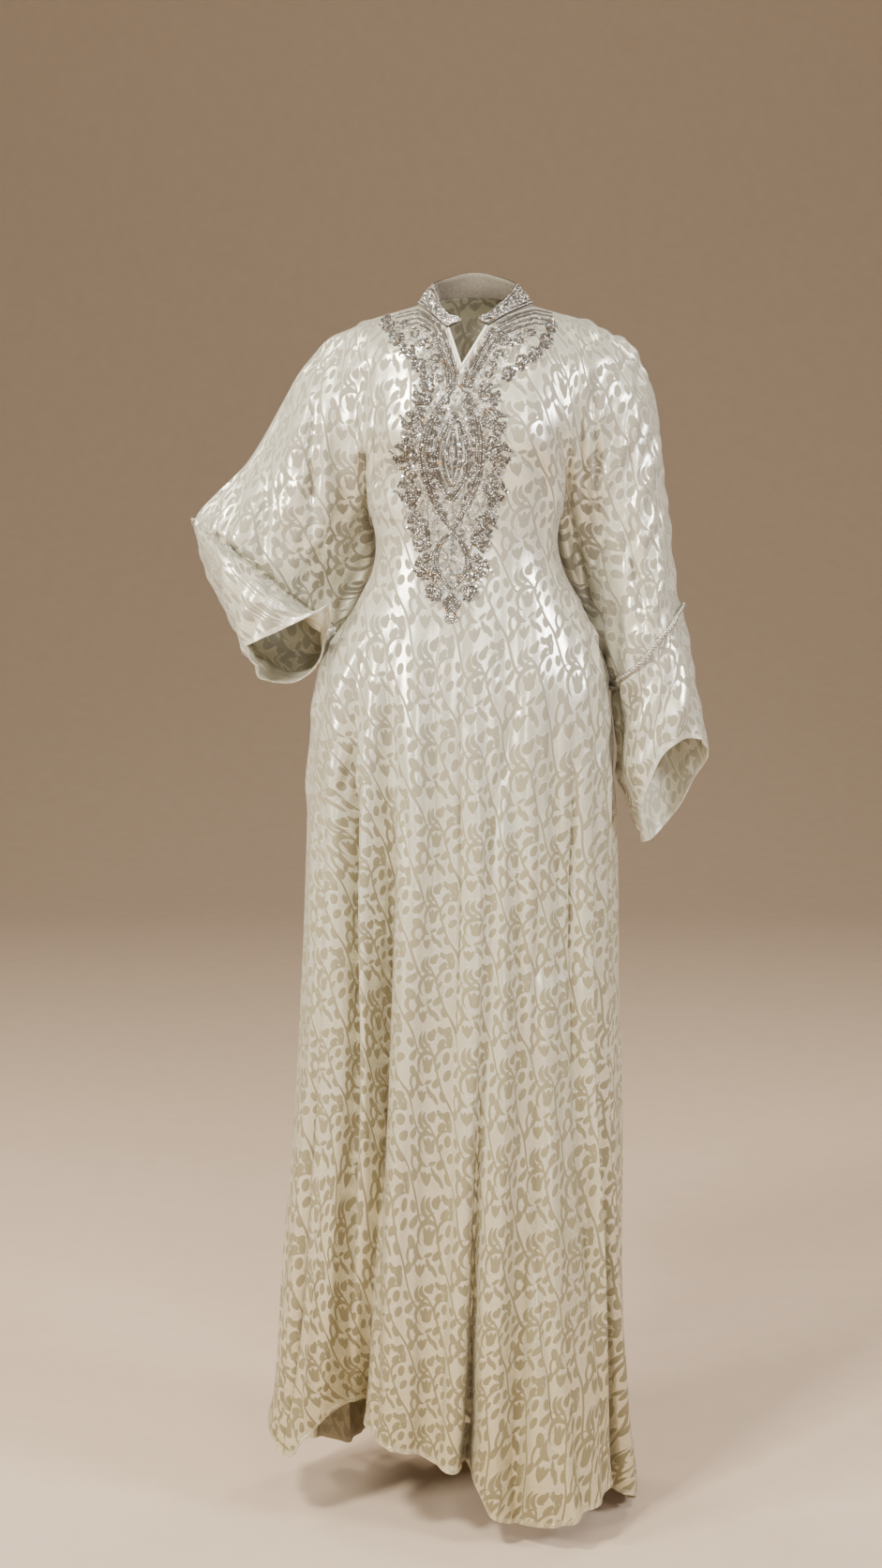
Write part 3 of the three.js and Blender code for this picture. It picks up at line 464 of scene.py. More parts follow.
def bust_offset(x: Array, z: Array) -> Array:
    """Two soft swellings of the chest, steeper below than above.

    Args:
        x: x of each point.
        z: Its height.
    Returns:
        Offsets in millimetres.
    """
    middle = (BODY.read("left", z) + BODY.read("right", z)) / 2
    dx = (np.abs(x - middle) - BUST["side"]) / BUST["wide"]
    dz = (z - BUST["z"]) / np.where(z > BUST["z"], BUST["above"], BUST["below"])
    return BUST["rise"] * np.exp(-dx * dx - dz * dz)


def torso_y(x: Array, z: Array, back: bool) -> Array:
    """Depth of the chest or upper back: the body's oval, rolled in to the shoulder line.

    Args:
        x: x of each point.
        z: Its height.
        back: Whether this is the back half.
    Returns:
        y of each point.
    """
    left, right = BODY.read("left", z), BODY.read("right", z)
    across = np.minimum(1, np.abs(x - (left + right) / 2) / ((right - left) / 2))
    depth = BODY.read("back" if back else "front", z) - SIDE_Y
    oval = depth * (1 - across**RING_POWER) ** (1 / RING_POWER)
    below = np.clip((shoulder_z(x) - z) / SHOULDER_ROUND, 0, 1)
    roll = np.sqrt(1 - (1 - below) ** 2)
    low = smooth((z - UNDERARM_Z) / TORSO_FADE)
    out = (0 if back else bust_offset(x, z)) + crease_offset(x, z, back) * low
    return SHOULDER_Y + (SIDE_Y + oval - SHOULDER_Y) * roll + (1 if back else -1) * out * roll


# ---- Sleeves ----


class Ring(NamedTuple):
    """A sleeve section between an outer and an inner point: how far its halves stand out, how far
    the inner part is flattened, and how the halves are raised, swung or dropped."""

    outer: tuple[float, float, float]
    inner: tuple[float, float, float]
    front: float
    back: float
    web: float = 0.0
    lift: float = 0.0
    aside: float = 0.0
    drop: float = 0.0


@dataclass(frozen=True)
class Sleeve:
    """Rings of one sleeve from the shoulder to its lower edge, with the ring that carries the braid."""

    side: int
    rings: tuple[Ring, ...]
    seam: int


LEFT_SLEEVE = Sleeve(
    1,
    (
        Ring((150, 14, -9), (104, 46, -262), 98, 46, 0.5),
        Ring((190, 18, -33), (107, 53, -300), 88, 46, 0.6),
        Ring((213, 20, -70), (127, 55, -345), 82, 46, 0.65),
        Ring((225, 20, -130), (143, 57, -378), 80, 44, 0.55),
        Ring((234, 20, -200), (154, 56, -404), 78, 44, 0.45),
        Ring((244, 20, -275), (163, 52, -430), 76, 46, 0.3),
        Ring((254, 15, -354), (175, 50, -452), 74, 48, 0.1),
        Ring((264, 10, -396), (180, 36, -512), 64, 48, 0, 6),
        Ring((276, 5, -462), (186, 18, -580), 58, 48, 0, 26, -8, 8),
        Ring((291, 8, -534), (214, -4, -636), 50, 46, 0, 50, -24, 36),
    ),
    7,
)
RIGHT_SLEEVE = Sleeve(
    -1,
    (
        Ring((-160, 14, -16), (-126, 46, -262), 96, 44, 0.6),
        Ring((-205, 20, -52), (-125, 53, -288), 88, 44, 0.7),
        Ring((-236, 26, -105), (-133, 56, -312), 84, 44, 0.75),
        Ring((-266, 32, -155), (-140, 56, -332), 80, 44, 0.75, 0, 0, 4),
        Ring((-300, 38, -195), (-150, 54, -350), 74, 44, 0.7, 0, 0, 16),
        Ring((-330, 38, -226), (-162, 48, -368), 66, 46, 0.6, 0, 0, 44),
        Ring((-345, 30, -246), (-175, 36, -384), 55, 48, 0.35, 0, 0, 84),
        Ring((-341, 8, -264), (-185, 2, -390), 60, 52, 0, 17, 0, 94),
        Ring((-318, -22, -312), (-189, -36, -372), 50, 60, 0, 12, 0, 86),
        Ring((-281, -58, -394), (-178, -72, -345), 18, 68, 0, 0, 0, 76),
    ),
    7,
)


class Lap(NamedTuple):
    """A ridge or groove round a sleeve: its height, its place in rings after the seam and its
    half-width in rings."""

    height: float
    place: float
    half: float


# The right forearm's cloth laps over the upper sleeve: a groove before the seam and a roll after it.
LAPS = (Lap(-9.0, -0.22, 0.16), Lap(7.0, 0.25, 0.3))
ARMHOLE_BACK_OFF = 34.0  # how far inside the armhole line a sleeve's curve sets out


def ring_points(ring: Ring, turn: Array, back: bool) -> Array:
    """Half of a sleeve ring: along the chord by (1 - cos(turn)) / 2 and out from it by sin(turn).

    Args:
        ring: Sizes of the ring.
        turn: 0 at the outer point to pi at the inner one.
        back: Whether this is the back half.
    Returns:
        Points, as (n, 3).
    """
    outer, inner = np.array(ring.outer, float), np.array(ring.inner, float)
    share = (1 - np.cos(turn)) / 2
    chord = (inner - outer) / np.linalg.norm(inner - outer)
    out = np.array([0.0, 1.0 if back else -1.0, 0.0])
    out = out - chord * (out @ chord)
    out /= np.linalg.norm(out)
    reach = (ring.back if back else ring.front) * np.abs(np.sin(turn)) ** 0.85
    reach = reach * (1 - ring.web * smooth(share * 2 - 1))
    p = outer + (inner - outer) * share[:, None] + out * reach[:, None]
    p[:, 2] += (-ring.drop if back else ring.lift) * np.sin(turn)
    if not back:
        p[:, 0] += ring.aside * np.sin(turn)
    return p


def sleeve_half(sleeve: Sleeve, along: Array, turn: Array, back: bool) -> Array:
    """Half of a sleeve: a Catmull-Rom curve through its rings at each turn.

    Args:
        sleeve: The sleeve.
        along: Stations in rings, 0 at the armhole line.
        turn: 0 to pi.
        back: Whether this is the back half.
    Returns:
        Points, as (stations, turns, 3).
    """
    side = sleeve.side
    edge = float(BODY.read("left" if side < 0 else "right", UNDERARM_Z))
    share = (1 - np.cos(turn)) / 2

    def armhole(x: float) -> Array:
        """Chest points at one x, from the shoulder to the underarm.

        Args:
            x: The x.
        Returns:
            Points, as (n, 3).
        """
        z = mix(float(shoulder_z(np.array(edge))), UNDERARM_Z, share)
        xs = np.full_like(z, x)
        return np.stack([xs, torso_y(xs, z, back), z], -1)

    knots = [armhole(edge - side * ARMHOLE_BACK_OFF), armhole(edge)]
    knots += [ring_points(r, turn, back) for r in sleeve.rings]
    knots.append(2 * knots[-1] - knots[-2])
    grid = np.stack(knots)
    i = np.minimum(np.floor(along).astype(int), len(sleeve.rings) - 1)
    t = (along - i)[:, None, None]
    p, q, r, s = grid[i], grid[i + 1], grid[i + 2], grid[i + 3]
    points = 0.5 * (
        2 * q + (r - p) * t + (2 * p - 5 * q + 4 * r - s) * t * t + (3 * q - p - 3 * r + s) * t**3
    )
    free = smooth(along)[:, None] * np.sin(turn)
    free = free * (1 - smooth((along - sleeve.seam) / 1.5))[:, None]
    points[..., 1] += (1 if back else -1) * crease_offset(points[..., 0], points[..., 2], back) * free
    if side < 0 and not back:
        for lap in LAPS:
            rise = lap.height * np.exp(-(((along - sleeve.seam - lap.place) / lap.half) ** 2))
            points[..., 1] -= rise[:, None] * np.sin(turn) ** 0.7
    return points


# ---- The cloth as one surface ----


class Panel(Enum):
    """The maker's pieces of cloth. Each value is the node that it stands for."""

    FRONT = "front"
    BACK = "back"
    LOWER_SLEEVE_LEFT = "lower_sleeve_left"
    LOWER_SLEEVE_RIGHT = "lower_sleeve_right"


@dataclass
class Patch:
    """A grid of cloth: its panel, points, flat cloth coordinates and distance from a cut edge."""

    panel: Panel
    points: Array
    flat: Array
    edge: Array
    outward: int


FAR = 999.0  # distance given to cloth with no cut edge near it
RAY_Y = -400.0  # depth from which rays are cast at the front
NOTCH_RIGHT = -34.5  # x of the notch's corners at the neckline
NOTCH_LEFT = 14.0
NOTCH_FOOT = -18.0  # x of its lower end
NOTCH_FACING = np.array([0.0, -0.93, 0.37])  # direction that the notch faces
NECK_X = (-NECK_HALF, -60.0, -49.0, NOTCH_RIGHT, NOTCH_FOOT, NOTCH_LEFT, 33.0, 52.0, NECK_HALF)
NECK_Z = (15.0, 8.0, -1.0, -13.5, -62.0, -11.0, 0.0, 8.0, 15.0)


def between(line: Array, low: float, high: float) -> Array:
    """Points of a line whose x lies between two values, ends included."""
    return line[(line[:, 0] > low - 0.01) & (line[:, 0] < high + 0.01)]


@dataclass
class Cloth:
    """All of the cloth as welded points and faces, with shared normals.

    The skirt's last `hem_rows` rows lie close together, from `hem_share` of its length to the hem.
    The wall thickens to the hem's over `hem_step`.
    """

    front_columns: int = 160
    back_columns: int = 130
    skirt_rows: int = 124
    arm_rows: int = 56
    sleeve_stations: int = 56
    cuff_stations: int = 40
    hem_rows: int = 5
    hem_share: float = 0.993
    wall: float = 1.1
    hem_wall: float = 2.3
    hem_width: float = 6.0
    hem_step: float = 1.5
    angle_steps: int = 721

    def column_angles(self, count: int, end: float) -> Array:
        """Angles from the right side seam, spaced evenly along the folded skirt.

        Args:
            count: Number of columns.
            end: Angle of the left side seam.
        Returns:
            One angle more than columns.
        """
        at = np.linspace(180, end, self.angle_steps)
        if end > 180:
            at[0] = BACK_START
        walked = np.zeros_like(at)
        # Near the hem and near the hips: both lengths count.
        for down in (0.93, 0.3):
            walked += run_length(skirt(at, np.full_like(at, down)))
        angles = np.interp(np.linspace(0, walked[-1], count + 1), walked, at)
        angles[0] = 180
        return angles

    def top_x(self, count: int, back: bool) -> Array:
        """x of each column along the shoulders and neckline, with columns on the notch's corners.

        Args:
            count: Number of columns.
            back: Whether this is the back half.
        Returns:
            One x more than columns.
        """
        left, right = (float(BODY.read(k, UNDERARM_Z)) for k in ("left", "right"))
        notch = [] if back else [NOTCH_RIGHT, NOTCH_FOOT, NOTCH_LEFT]
        marks = [left, -NECK_HALF, *notch, NECK_HALF, right]
        # Parts of the count: each mark then has a column on it.
        shares = [0, 3, 23, 26] if back else [0, 3, 10, 15, 21, 29, 32]
        return np.interp(np.linspace(0, shares[-1], count + 1), shares, marks)

    def body_half(self, back: bool) -> tuple[Array, Array]:
        """Points of the skirt and of the torso of one half, as grids of columns by rows.

        Args:
            back: Whether this is the back half.
        Returns:
            The skirt's points and the torso's.
        """
        count = self.back_columns if back else self.front_columns
        angles = self.column_angles(count, 360 if back else 0)
        upper = np.linspace(0, self.hem_share - 0.0015, self.skirt_rows - self.hem_rows)
        down = np.concatenate([upper, np.linspace(self.hem_share, 1, self.hem_rows + 1)])
        low = skirt(angles[:, None] + 0 * down, down[None, :] + 0 * angles[:, None])
        turn = np.linspace(0, np.pi, self.arm_rows + 1)
        share = (1 - np.cos(turn)) / 2
        top = self.top_x(count, back)[:, None]
        rise = NECK_SIDE_Z + NECK_BACK_RISE * (1 - (top / NECK_HALF) ** 2)
        neck = rise if back else np.interp(top, NECK_X, NECK_Z)
        top_z = np.where(np.abs(top) <= NECK_HALF, neck, shoulder_z(top))
        x = mix(top, low[:, :1, 0], smooth(share)[None, :])
        z = mix(top_z, UNDERARM_Z, share[None, :])
        torso = np.stack([x, torso_y(x, z, back), z], -1)
        torso[:, -1] = low[:, 0]
        return low, torso

    def patches(self) -> list[Patch]:
        """Every grid of the cloth, with shared edges made equal.

        Returns:
            The patches.
        """
        found: list[Patch] = []
        halves = {back: self.body_half(back) for back in (False, True)}
        for end in (0, -1):
            halves[True][0][end] = halves[False][0][end]
            halves[True][1][end, -1] = halves[False][1][end, -1]
        self.neckline = {back: halves[back][1][:, 0] for back in (False, True)}
        self.loops: dict[int, Array] = {}
        for back, (low, torso) in halves.items():
            panel = Panel.BACK if back else Panel.FRONT
            middle = low.shape[0] // 2
            outward = -1 if back else 1
            flat = {}
            for name, grid in (("low", low), ("torso", torso)):
                across = run_length(grid, 0)
                down = run_length(grid, 1)
                if name == "torso":
                    down = down - down[:, -1:]
                flat[name] = np.stack([across - across[middle], UNDERARM_Z - down], -1)
            length = run_length(low, 1)
            found.append(Patch(panel, low, flat["low"], length[:, -1:] - length, outward))
            far = np.full(torso.shape[:2], FAR)
            found.append(Patch(panel, torso, flat["torso"], far, outward))
            for sleeve in (LEFT_SLEEVE, RIGHT_SLEEVE):
                end = -1 if sleeve.side > 0 else 0
                found += self.sleeve_patches(sleeve, back, torso[end], flat["torso"][end])
        return found

    def sleeve_patches(self, sleeve: Sleeve, back: bool, edge: Array, edge_flat: Array) -> list[Patch]:
        """Half of a sleeve as its upper part, which belongs to the body's panel, and its lower part.

        Args:
            sleeve: The sleeve.
            back: Whether this is the back half.
            edge: Torso points at the armhole line.
            edge_flat: Their flat cloth coordinates.
        Returns:
            The two patches.
        """
        turn = np.linspace(0, np.pi, self.arm_rows + 1)
        upper = np.linspace(0, sleeve.seam, self.sleeve_stations + 1)
        lower = np.linspace(sleeve.seam, len(sleeve.rings), self.cuff_stations + 1)
        grid = sleeve_half(sleeve, np.concatenate([upper, lower[1:]]), turn, back)
        grid[0] = edge
        if back:
            front = sleeve_half(sleeve, np.concatenate([upper, lower[1:]]), turn, False)
            grid[1:, 0], grid[1:, -1] = front[1:, 0], front[1:, -1]
        share = run_length(grid, 1)
        share = (share / share[:, -1:])[..., None]
        chord = mix(grid[:, :1], grid[:, -1:], share)[..., [0, 2]]
        flat = edge_flat[None] + chord - chord[:1]
        # Where the sleeve leaves the plane of the chest, the cloth is longer than its front view.
        move = np.diff(chord.mean(1), axis=0)
        seen = np.linalg.norm(move, axis=1, keepdims=True)
        walked = np.linalg.norm(np.diff(grid, axis=0), axis=-1).mean(1)[:, None]
        flat[1:] += np.cumsum(move / np.maximum(seen, 1e-6) * np.maximum(0, walked - seen), 0)[:, None]
        length = run_length(grid, 0)
        to_edge = length[-1:] - length
        cut = self.sleeve_stations
        lower_panel = Panel.LOWER_SLEEVE_LEFT if sleeve.side > 0 else Panel.LOWER_SLEEVE_RIGHT
        outward = (-1 if back else 1) * sleeve.side
        body_panel = Panel.BACK if back else Panel.FRONT
        ring = grid[cut]
        if back:
            self.loops[sleeve.side] = np.concatenate([self.loops[sleeve.side], ring[-2:0:-1]])
        else:
            self.loops[sleeve.side] = ring
        far = np.full(grid.shape[:2], FAR)
        across = run_length(grid[cut:], 1) * (-1 if back else 1)
        own = np.stack([across, -run_length(grid[cut:], 0)], -1)
        return [
            Patch(body_panel, grid[: cut + 1], flat[: cut + 1], far[: cut + 1], outward),
            Patch(lower_panel, grid[cut:], own, to_edge[cut:], outward),
        ]

    def weld(self) -> None:
        """Join the patches: equal points become one, and normals are summed over their faces."""
        points, quads, flats, panels, edges = [], [], [], [], []
        offset = 0
        for patch in self.patches():
            columns, rows = patch.points.shape[:2]
            number = offset + np.arange(columns * rows).reshape(columns, rows)
            q = np.stack([number[:-1, :-1], number[:-1, 1:], number[1:, 1:], number[1:, :-1]], -1)
            q = q.reshape(-1, 4)
            quads.append(q if patch.outward > 0 else q[:, ::-1])
            points.append(patch.points.reshape(-1, 3))
            flats.append(patch.flat.reshape(-1, 2))
            edges.append(patch.edge.reshape(-1))
            panels += [patch.panel] * len(q)
            offset += columns * rows
        every = np.concatenate(points)
        _, first, back = np.unique(np.round(every, 3), axis=0, return_index=True, return_inverse=True)
        back = back.reshape(-1)
        quad = np.concatenate(quads)
        self.flat = np.concatenate(flats)[quad]
        self.edge = np.concatenate(edges)[first]
        self.points = every[first]
        self.quads = back[quad]
        self.panels = np.array([p.value for p in panels])
        self.normals = self.sum_normals(self.points, self.quads)
        self.points = self.points + self.normals * self.ripple(self.points)[:, None]
        self.normals = self.sum_normals(self.points, self.quads)

    @staticmethod
    def sum_normals(points: Array, quads: Array) -> Array:
        """Unit normals at the points: the crossed diagonals of the faces round each.

        Args:
            points: Points.
            quads: Faces.
        Returns:
            A normal for each point.
        """
        a, b, c, d = (points[quads[:, k]] for k in range(4))
        face = np.cross(c - a, d - b)
        total = np.zeros_like(points)
        for k in range(4):
            np.add.at(total, quads[:, k], face)
        return unit(total)

    def ripple(self, points: Array) -> Array:
        """Slack of the cloth: long upright waves on the skirt, slanted ones on the sleeves, slight
        ones on the chest, and a short waver along the hem and the sleeves' edges.

        Args:
            points: Points on the cloth.
        Returns:
            Offsets in millimetres.
        """
        x, z = points[:, 0], points[:, 2]
        drape = SKIRT_SLACK.over(points) + SKIRT_FINE_SLACK.over(points)
        drape = drape * smooth((-300 - z) / 200)
        lean = points @ np.array([[1, 0, SLEEVE_LEAN], [0, 1, 0], [-SLEEVE_LEAN, 0, 1]])
        out = smooth((np.abs(x) - 105) / 40) * smooth((z + 700) / 120)
        sleeve = SLEEVE_SLACK.over(lean) * out * (1 - smooth((-560 - z) / 60))
        chest = CHEST_SLACK.over(points) * (1 - out) * smooth((z + 330) / 60)
        edge = EDGE_SLACK.over(points) * np.exp(-self.edge / EDGE_REACH)
        return drape + sleeve + chest * smooth((-40 - z) / 50) + edge

    def wall_of(self, panel: Panel) -> tuple[Array, Array, Array, Array]:
        """Closed wall of one panel: its faces moved out and in along the normals, and a rim.

        Args:
            panel: The panel.
        Returns:
            Points, faces, flat coordinates for each face corner, and edge distances of the points.
        """
        mine = self.panels == panel.value
        quads, flat = self.quads[mine], self.flat[mine]
        used, small = np.unique(quads, return_inverse=True)
        quads = small.reshape(-1, 4)
        p, n, edge = self.points[used], self.normals[used], self.edge[used]
        near = smooth((self.hem_width + self.hem_step - edge) / self.hem_step)
        half = (self.wall + (self.hem_wall - self.wall) * near)[:, None] / 2
        count = len(used)
        starts = quads.reshape(-1)
        ends = np.roll(quads, -1, axis=1).reshape(-1)
        key, back_key = starts * count + ends, ends * count + starts
        rim = ~np.isin(key, back_key)
        a, b = starts[rim], ends[rim]
        rim_quads = np.stack([b, a, a + count, b + count], -1)
        corner = flat.reshape(-1, 2)
        next_corner = np.roll(flat, -1, axis=1).reshape(-1, 2)
        rim_flat = np.stack([next_corner[rim], corner[rim], corner[rim], next_corner[rim]], 1)
        points = np.concatenate([p + n * half, p - n * half])
        faces = np.concatenate([quads, quads[:, ::-1] + count, rim_quads])
        flats = np.concatenate([flat, flat[:, ::-1], rim_flat])
        return points, faces, flats, np.concatenate([edge, edge])


# ---- Meshes ----


def link(name: str, data: bpy.types.ID) -> bpy.types.Object:
    """New object in the scene, at the origin.

    Args:
        name: Name of the object.
        data: Its mesh, light or camera.
    Returns:
        The object.
    """
    item = bpy.data.objects.new(name, data)
    bpy.context.scene.collection.objects.link(item)
    return item


def new_mesh(name: str, points: Array, faces: list[Sequence[int]], is_smooth: bool) -> bpy.types.Mesh:
    """New mesh.

    Args:
        name: Name of the mesh.
        points: Points in millimetres.
        faces: Faces as point numbers.
        is_smooth: Whether its shading is smooth.
    Returns:
        The mesh.
    """
    mesh = bpy.data.meshes.new(name)
    mesh.from_pydata((points * MM).tolist(), [], faces)
    mesh.polygons.foreach_set("use_smooth", np.full(len(mesh.polygons), is_smooth))
    mesh.update()
    return mesh


def make_object(name: str, points: Array, faces: Array, flat: Array | None = None) -> bpy.types.Object:
    """New smooth mesh object, riding on the frame's one body.

    Args:
        name: Name of the piece.
        points: Points in millimetres.
        faces: Faces as point numbers.
        flat: Flat coordinates for each face corner, in millimetres, for the UV map.
    Returns:
        The object, at the origin.
    """
    mesh = new_mesh(name, points, faces.tolist(), True)
    if flat is not None:
        layer = mesh.uv_layers.new(name="cloth")
        layer.data.foreach_set("uv", (flat.reshape(-1) * MM).astype(np.float32))
    item = link(name, mesh)
    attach(item, "root")
    return item


def tube(path: Array, ups: Array, radius: Any, sides: int, closed: bool) -> tuple[Array, Array]:
    """Tube round a path: at each point a circle of spokes in the plane square to the path.

    Args:
        path: Points on the middle line.
        ups: Directions roughly square to the path.
        radius: One radius, or one for each point.
        sides: Number of sides.
        closed: Whether the path is a loop.
    Returns:
        Points and triangles or quads, with flat ends on an open path.
    """
    after = np.roll(path, -1, 0) if closed else np.concatenate([path[1:], path[-1:]])
    before = np.roll(path, 1, 0) if closed else np.concatenate([path[:1], path[:-1]])
    along = unit(after - before)
    up = unit(ups - along * (ups * along).sum(1, keepdims=True))
    aside = np.cross(along, up)
    turn = 2 * np.pi * np.arange(sides) / sides
    size = np.broadcast_to(np.asarray(radius, float).reshape(-1, 1, 1), (len(path), 1, 1))
    spokes = up[:, None] * np.cos(turn)[:, None] + aside[:, None] * np.sin(turn)[:, None]
    points = (path[:, None] + spokes * size).reshape(-1, 3)
    count = len(path)
    i = np.arange(count if closed else count - 1)[:, None]
    k = np.arange(sides)[None, :]
    j, m = (i + 1) % count, (k + 1) % sides
    cells = [i * sides + k, i * sides + m, j * sides + m, j * sides + k]
    faces = np.stack(np.broadcast_arrays(*cells), -1).reshape(-1, 4)
    if closed:
        return points, faces
    ends = np.arange(1, sides - 1)
    zero = np.zeros_like(ends)
    last = (count - 1) * sides
    first_cap = np.stack([zero, ends + 1, ends, zero], -1)
    last_cap = last + np.stack([zero, ends, ends + 1, zero], -1)
    return points, np.concatenate([faces, first_cap, last_cap])


class Pile:
    """Many small shapes gathered into one mesh."""

    def __init__(self) -> None:
        """Start empty."""
        self.points: list[Array] = []
        self.faces: list[list[int]] = []
        self.count = 0

    def add(self, points: Array, faces: Any) -> None:
        """Add one shape; a face that repeats its first corner at the end is a triangle.

        Args:
            points: Points of the shape.
            faces: Its faces, as rows of four numbers.
        """
        for face in np.asarray(faces).tolist():
            kept = [v + self.count for v in (face[:3] if face[-1] == face[0] else face)]
            self.faces.append(kept)
        self.points.append(points)
        self.count += len(points)

    def copies(
        self, shape: tuple[Array, Array], at: Array, normals: Array, size: Array, flat: float
    ) -> None:
        """Add one copy of a shape at each point, with its z axis along the normal.

        Args:
            shape: Points and faces of the shape, one unit in radius.
            at: Middle points.
            normals: Unit normals.
            size: Radius of each copy.
            flat: Height of a copy as a share of its width.
        """
        base, faces = shape
        side = unit(np.cross(normals, np.array([0.31, 0.12, 0.94])))
        other = np.cross(normals, side)
        local = base[None] * size[:, None, None]
        placed = at[:, None] + local[..., :1] * side[:, None] + local[..., 1:2] * other[:, None]
        placed = placed + local[..., 2:] * flat * normals[:, None]
        numbers = faces[None] + (np.arange(len(at)) * len(base))[:, None, None]
        self.faces += (numbers.reshape(-1, faces.shape[1]) + self.count).tolist()
        self.points.append(placed.reshape(-1, 3))
        self.count += placed.shape[0] * len(base)

    def build(self, name: str, is_smooth: bool = True) -> bpy.types.Object:
        """Make the object, riding on the frame's one body.

        Args:
            name: Name of the piece.
            is_smooth: Whether its shading is smooth.
        Returns:
            The object.
        """
        item = link(name, new_mesh(name, np.concatenate(self.points), self.faces, is_smooth))
        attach(item, "root")
        return item


def bead_shape() -> tuple[Array, Array]:
    """Round bead: the twelve corners and twenty faces of an icosahedron of radius one.

    Returns:
        Points and faces.
    """
    g = (1 + math.sqrt(5)) / 2
    raw = [(-1, g, 0), (1, g, 0), (-1, -g, 0), (1, -g, 0), (0, -1, g), (0, 1, g), (0, -1, -g)]
    raw += [(0, 1, -g), (g, 0, -1), (g, 0, 1), (-g, 0, -1), (-g, 0, 1)]
    faces = [(0, 11, 5), (0, 5, 1), (0, 1, 7), (0, 7, 10), (0, 10, 11), (1, 5, 9), (5, 11, 4)]
    faces += [(11, 10, 2), (10, 7, 6), (7, 1, 8), (3, 9, 4), (3, 4, 2), (3, 2, 6), (3, 6, 8)]
    faces += [(3, 8, 9), (4, 9, 5), (2, 4, 11), (6, 2, 10), (8, 6, 7), (9, 8, 1)]
    points = np.array(raw, float)
    return points / np.linalg.norm(points[0]), np.array(faces)


def stone_shape() -> tuple[Array, Array]:
    """Cut stone: a six-sided girdle with a smaller table turned half a side, and a flat back.

    Returns:
        Points and faces.
    """
    turn = np.arange(6) * np.pi / 3
    girdle = np.stack([np.cos(turn), np.sin(turn), 0 * turn], -1)
    half = turn + np.pi / 6
    table = np.stack([0.55 * np.cos(half), 0.55 * np.sin(half), 0 * turn + 1], -1)
    back = girdle * 0.8 - np.array([0, 0, 0.5])
    points = np.concatenate([girdle, table, back])
    faces = []
    for k in range(6):
        m = (k + 1) % 6
        faces += [(k, m, 6 + k), (m, 6 + m, 6 + k), (m, k, 12 + k), (m, 12 + k, 12 + m)]
    faces += [(6, 6 + k, 7 + k) for k in range(1, 5)]
    faces += [(12, 13 + k, 12 + k) for k in range(1, 5)]
    return points, np.array(faces)


# ---- Finishes ----


def colour(code: str) -> tuple[float, float, float, float]:
    """Linear colour of an sRGB hex code.

    Args:
        code: Hex code, as #RRGGBB.
    Returns:
        Red, green, blue and an alpha of one.
    """
    parts = [int(code[i : i + 2], 16) / 255 for i in (1, 3, 5)]
    linear = [c / 12.92 if c <= 0.04045 else ((c + 0.055) / 1.055) ** 2.4 for c in parts]
    return (*linear, 1.0)


class Graph:
    """Node tree of one material."""

    def __init__(self, name: str) -> None:
        """Make an empty material with an output.

        Args:
            name: Name of the material.
        """
        self.material = bpy.data.materials.new(name)
        self.material.use_nodes = True
        self.tree = self.material.node_tree
        self.tree.nodes.clear()
        self.output = self.tree.nodes.new("ShaderNodeOutputMaterial")

    def node(self, kind: str, settings: dict[str, Any] | None = None, **inputs: Any) -> bpy.types.Node:
        """Add a node with its settings and links.

        Args:
            kind: Node type.
            settings: Attributes of the node.
            inputs: Values or sockets, by input name with underscores for spaces, or _0, _1 by place.
        Returns:
            The node.
        """
        made = self.tree.nodes.new(kind)
        for key, value in (settings or {}).items():
            setattr(made, key, value)
        for key, value in inputs.items():
            place = key[1:]
            socket = made.inputs[int(place)] if place.isdigit() else made.inputs[key.replace("_", " ")]
            if isinstance(value, bpy.types.NodeSocket):
                self.tree.links.new(value, socket)
            else:
                socket.default_value = value
        return made

    def blend(self, share: Any, first: Any, second: Any, kind: str = "MIX") -> bpy.types.NodeSocket:
        """Mix two colours, given as hex codes or sockets.

        Args:
            share: Share of the second colour, 0 to 1.
            first: First colour.
            second: Second colour.
            kind: Blend type.
        Returns:
            The socket of the mixed colour.
        """
        first, second = (colour(c) if isinstance(c, str) else c for c in (first, second))
        settings = {"data_type": "RGBA", "blend_type": kind}
        return self.node("ShaderNodeMix", settings, _0=share, _6=first, _7=second).outputs[2]

    def finish(self, surface: bpy.types.NodeSocket) -> bpy.types.Material:
        """Link the surface to the output."""
        self.tree.links.new(surface, self.output.inputs["Surface"])
        return self.material


class Field:
    """A number that varies over a surface, worked out with math nodes."""

    def __init__(self, graph: Graph, socket: bpy.types.NodeSocket) -> None:
        """Wrap a socket."""
        self.graph = graph
        self.socket = socket

    def do(self, operation: str, *others: Any, clamp: bool = False) -> "Field":
        """Apply a math operation to this field and up to two others.

        Args:
            operation: Math operation.
            others: Fields or numbers.
            clamp: Whether the result is held to 0 to 1.
        Returns:
            The new field.
        """
        inputs: dict[str, Any] = {"_0": self.socket}
        for place, other in enumerate(others, 1):
            inputs[f"_{place}"] = other.socket if isinstance(other, Field) else float(other)
        node = self.graph.node("ShaderNodeMath", {"operation": operation, "use_clamp": clamp}, **inputs)
        return Field(self.graph, node.outputs[0])

    def __add__(self, other: Any) -> "Field":
        """Sum."""
        return self.do("ADD", other)

    def __sub__(self, other: Any) -> "Field":
        """Difference."""
        return self.do("SUBTRACT", other)

    def __mul__(self, other: Any) -> "Field":
        """Product."""
        return self.do("MULTIPLY", other)

    def high(self, other: Any) -> "Field":
        """Larger of two."""
        return self.do("MAXIMUM", other)


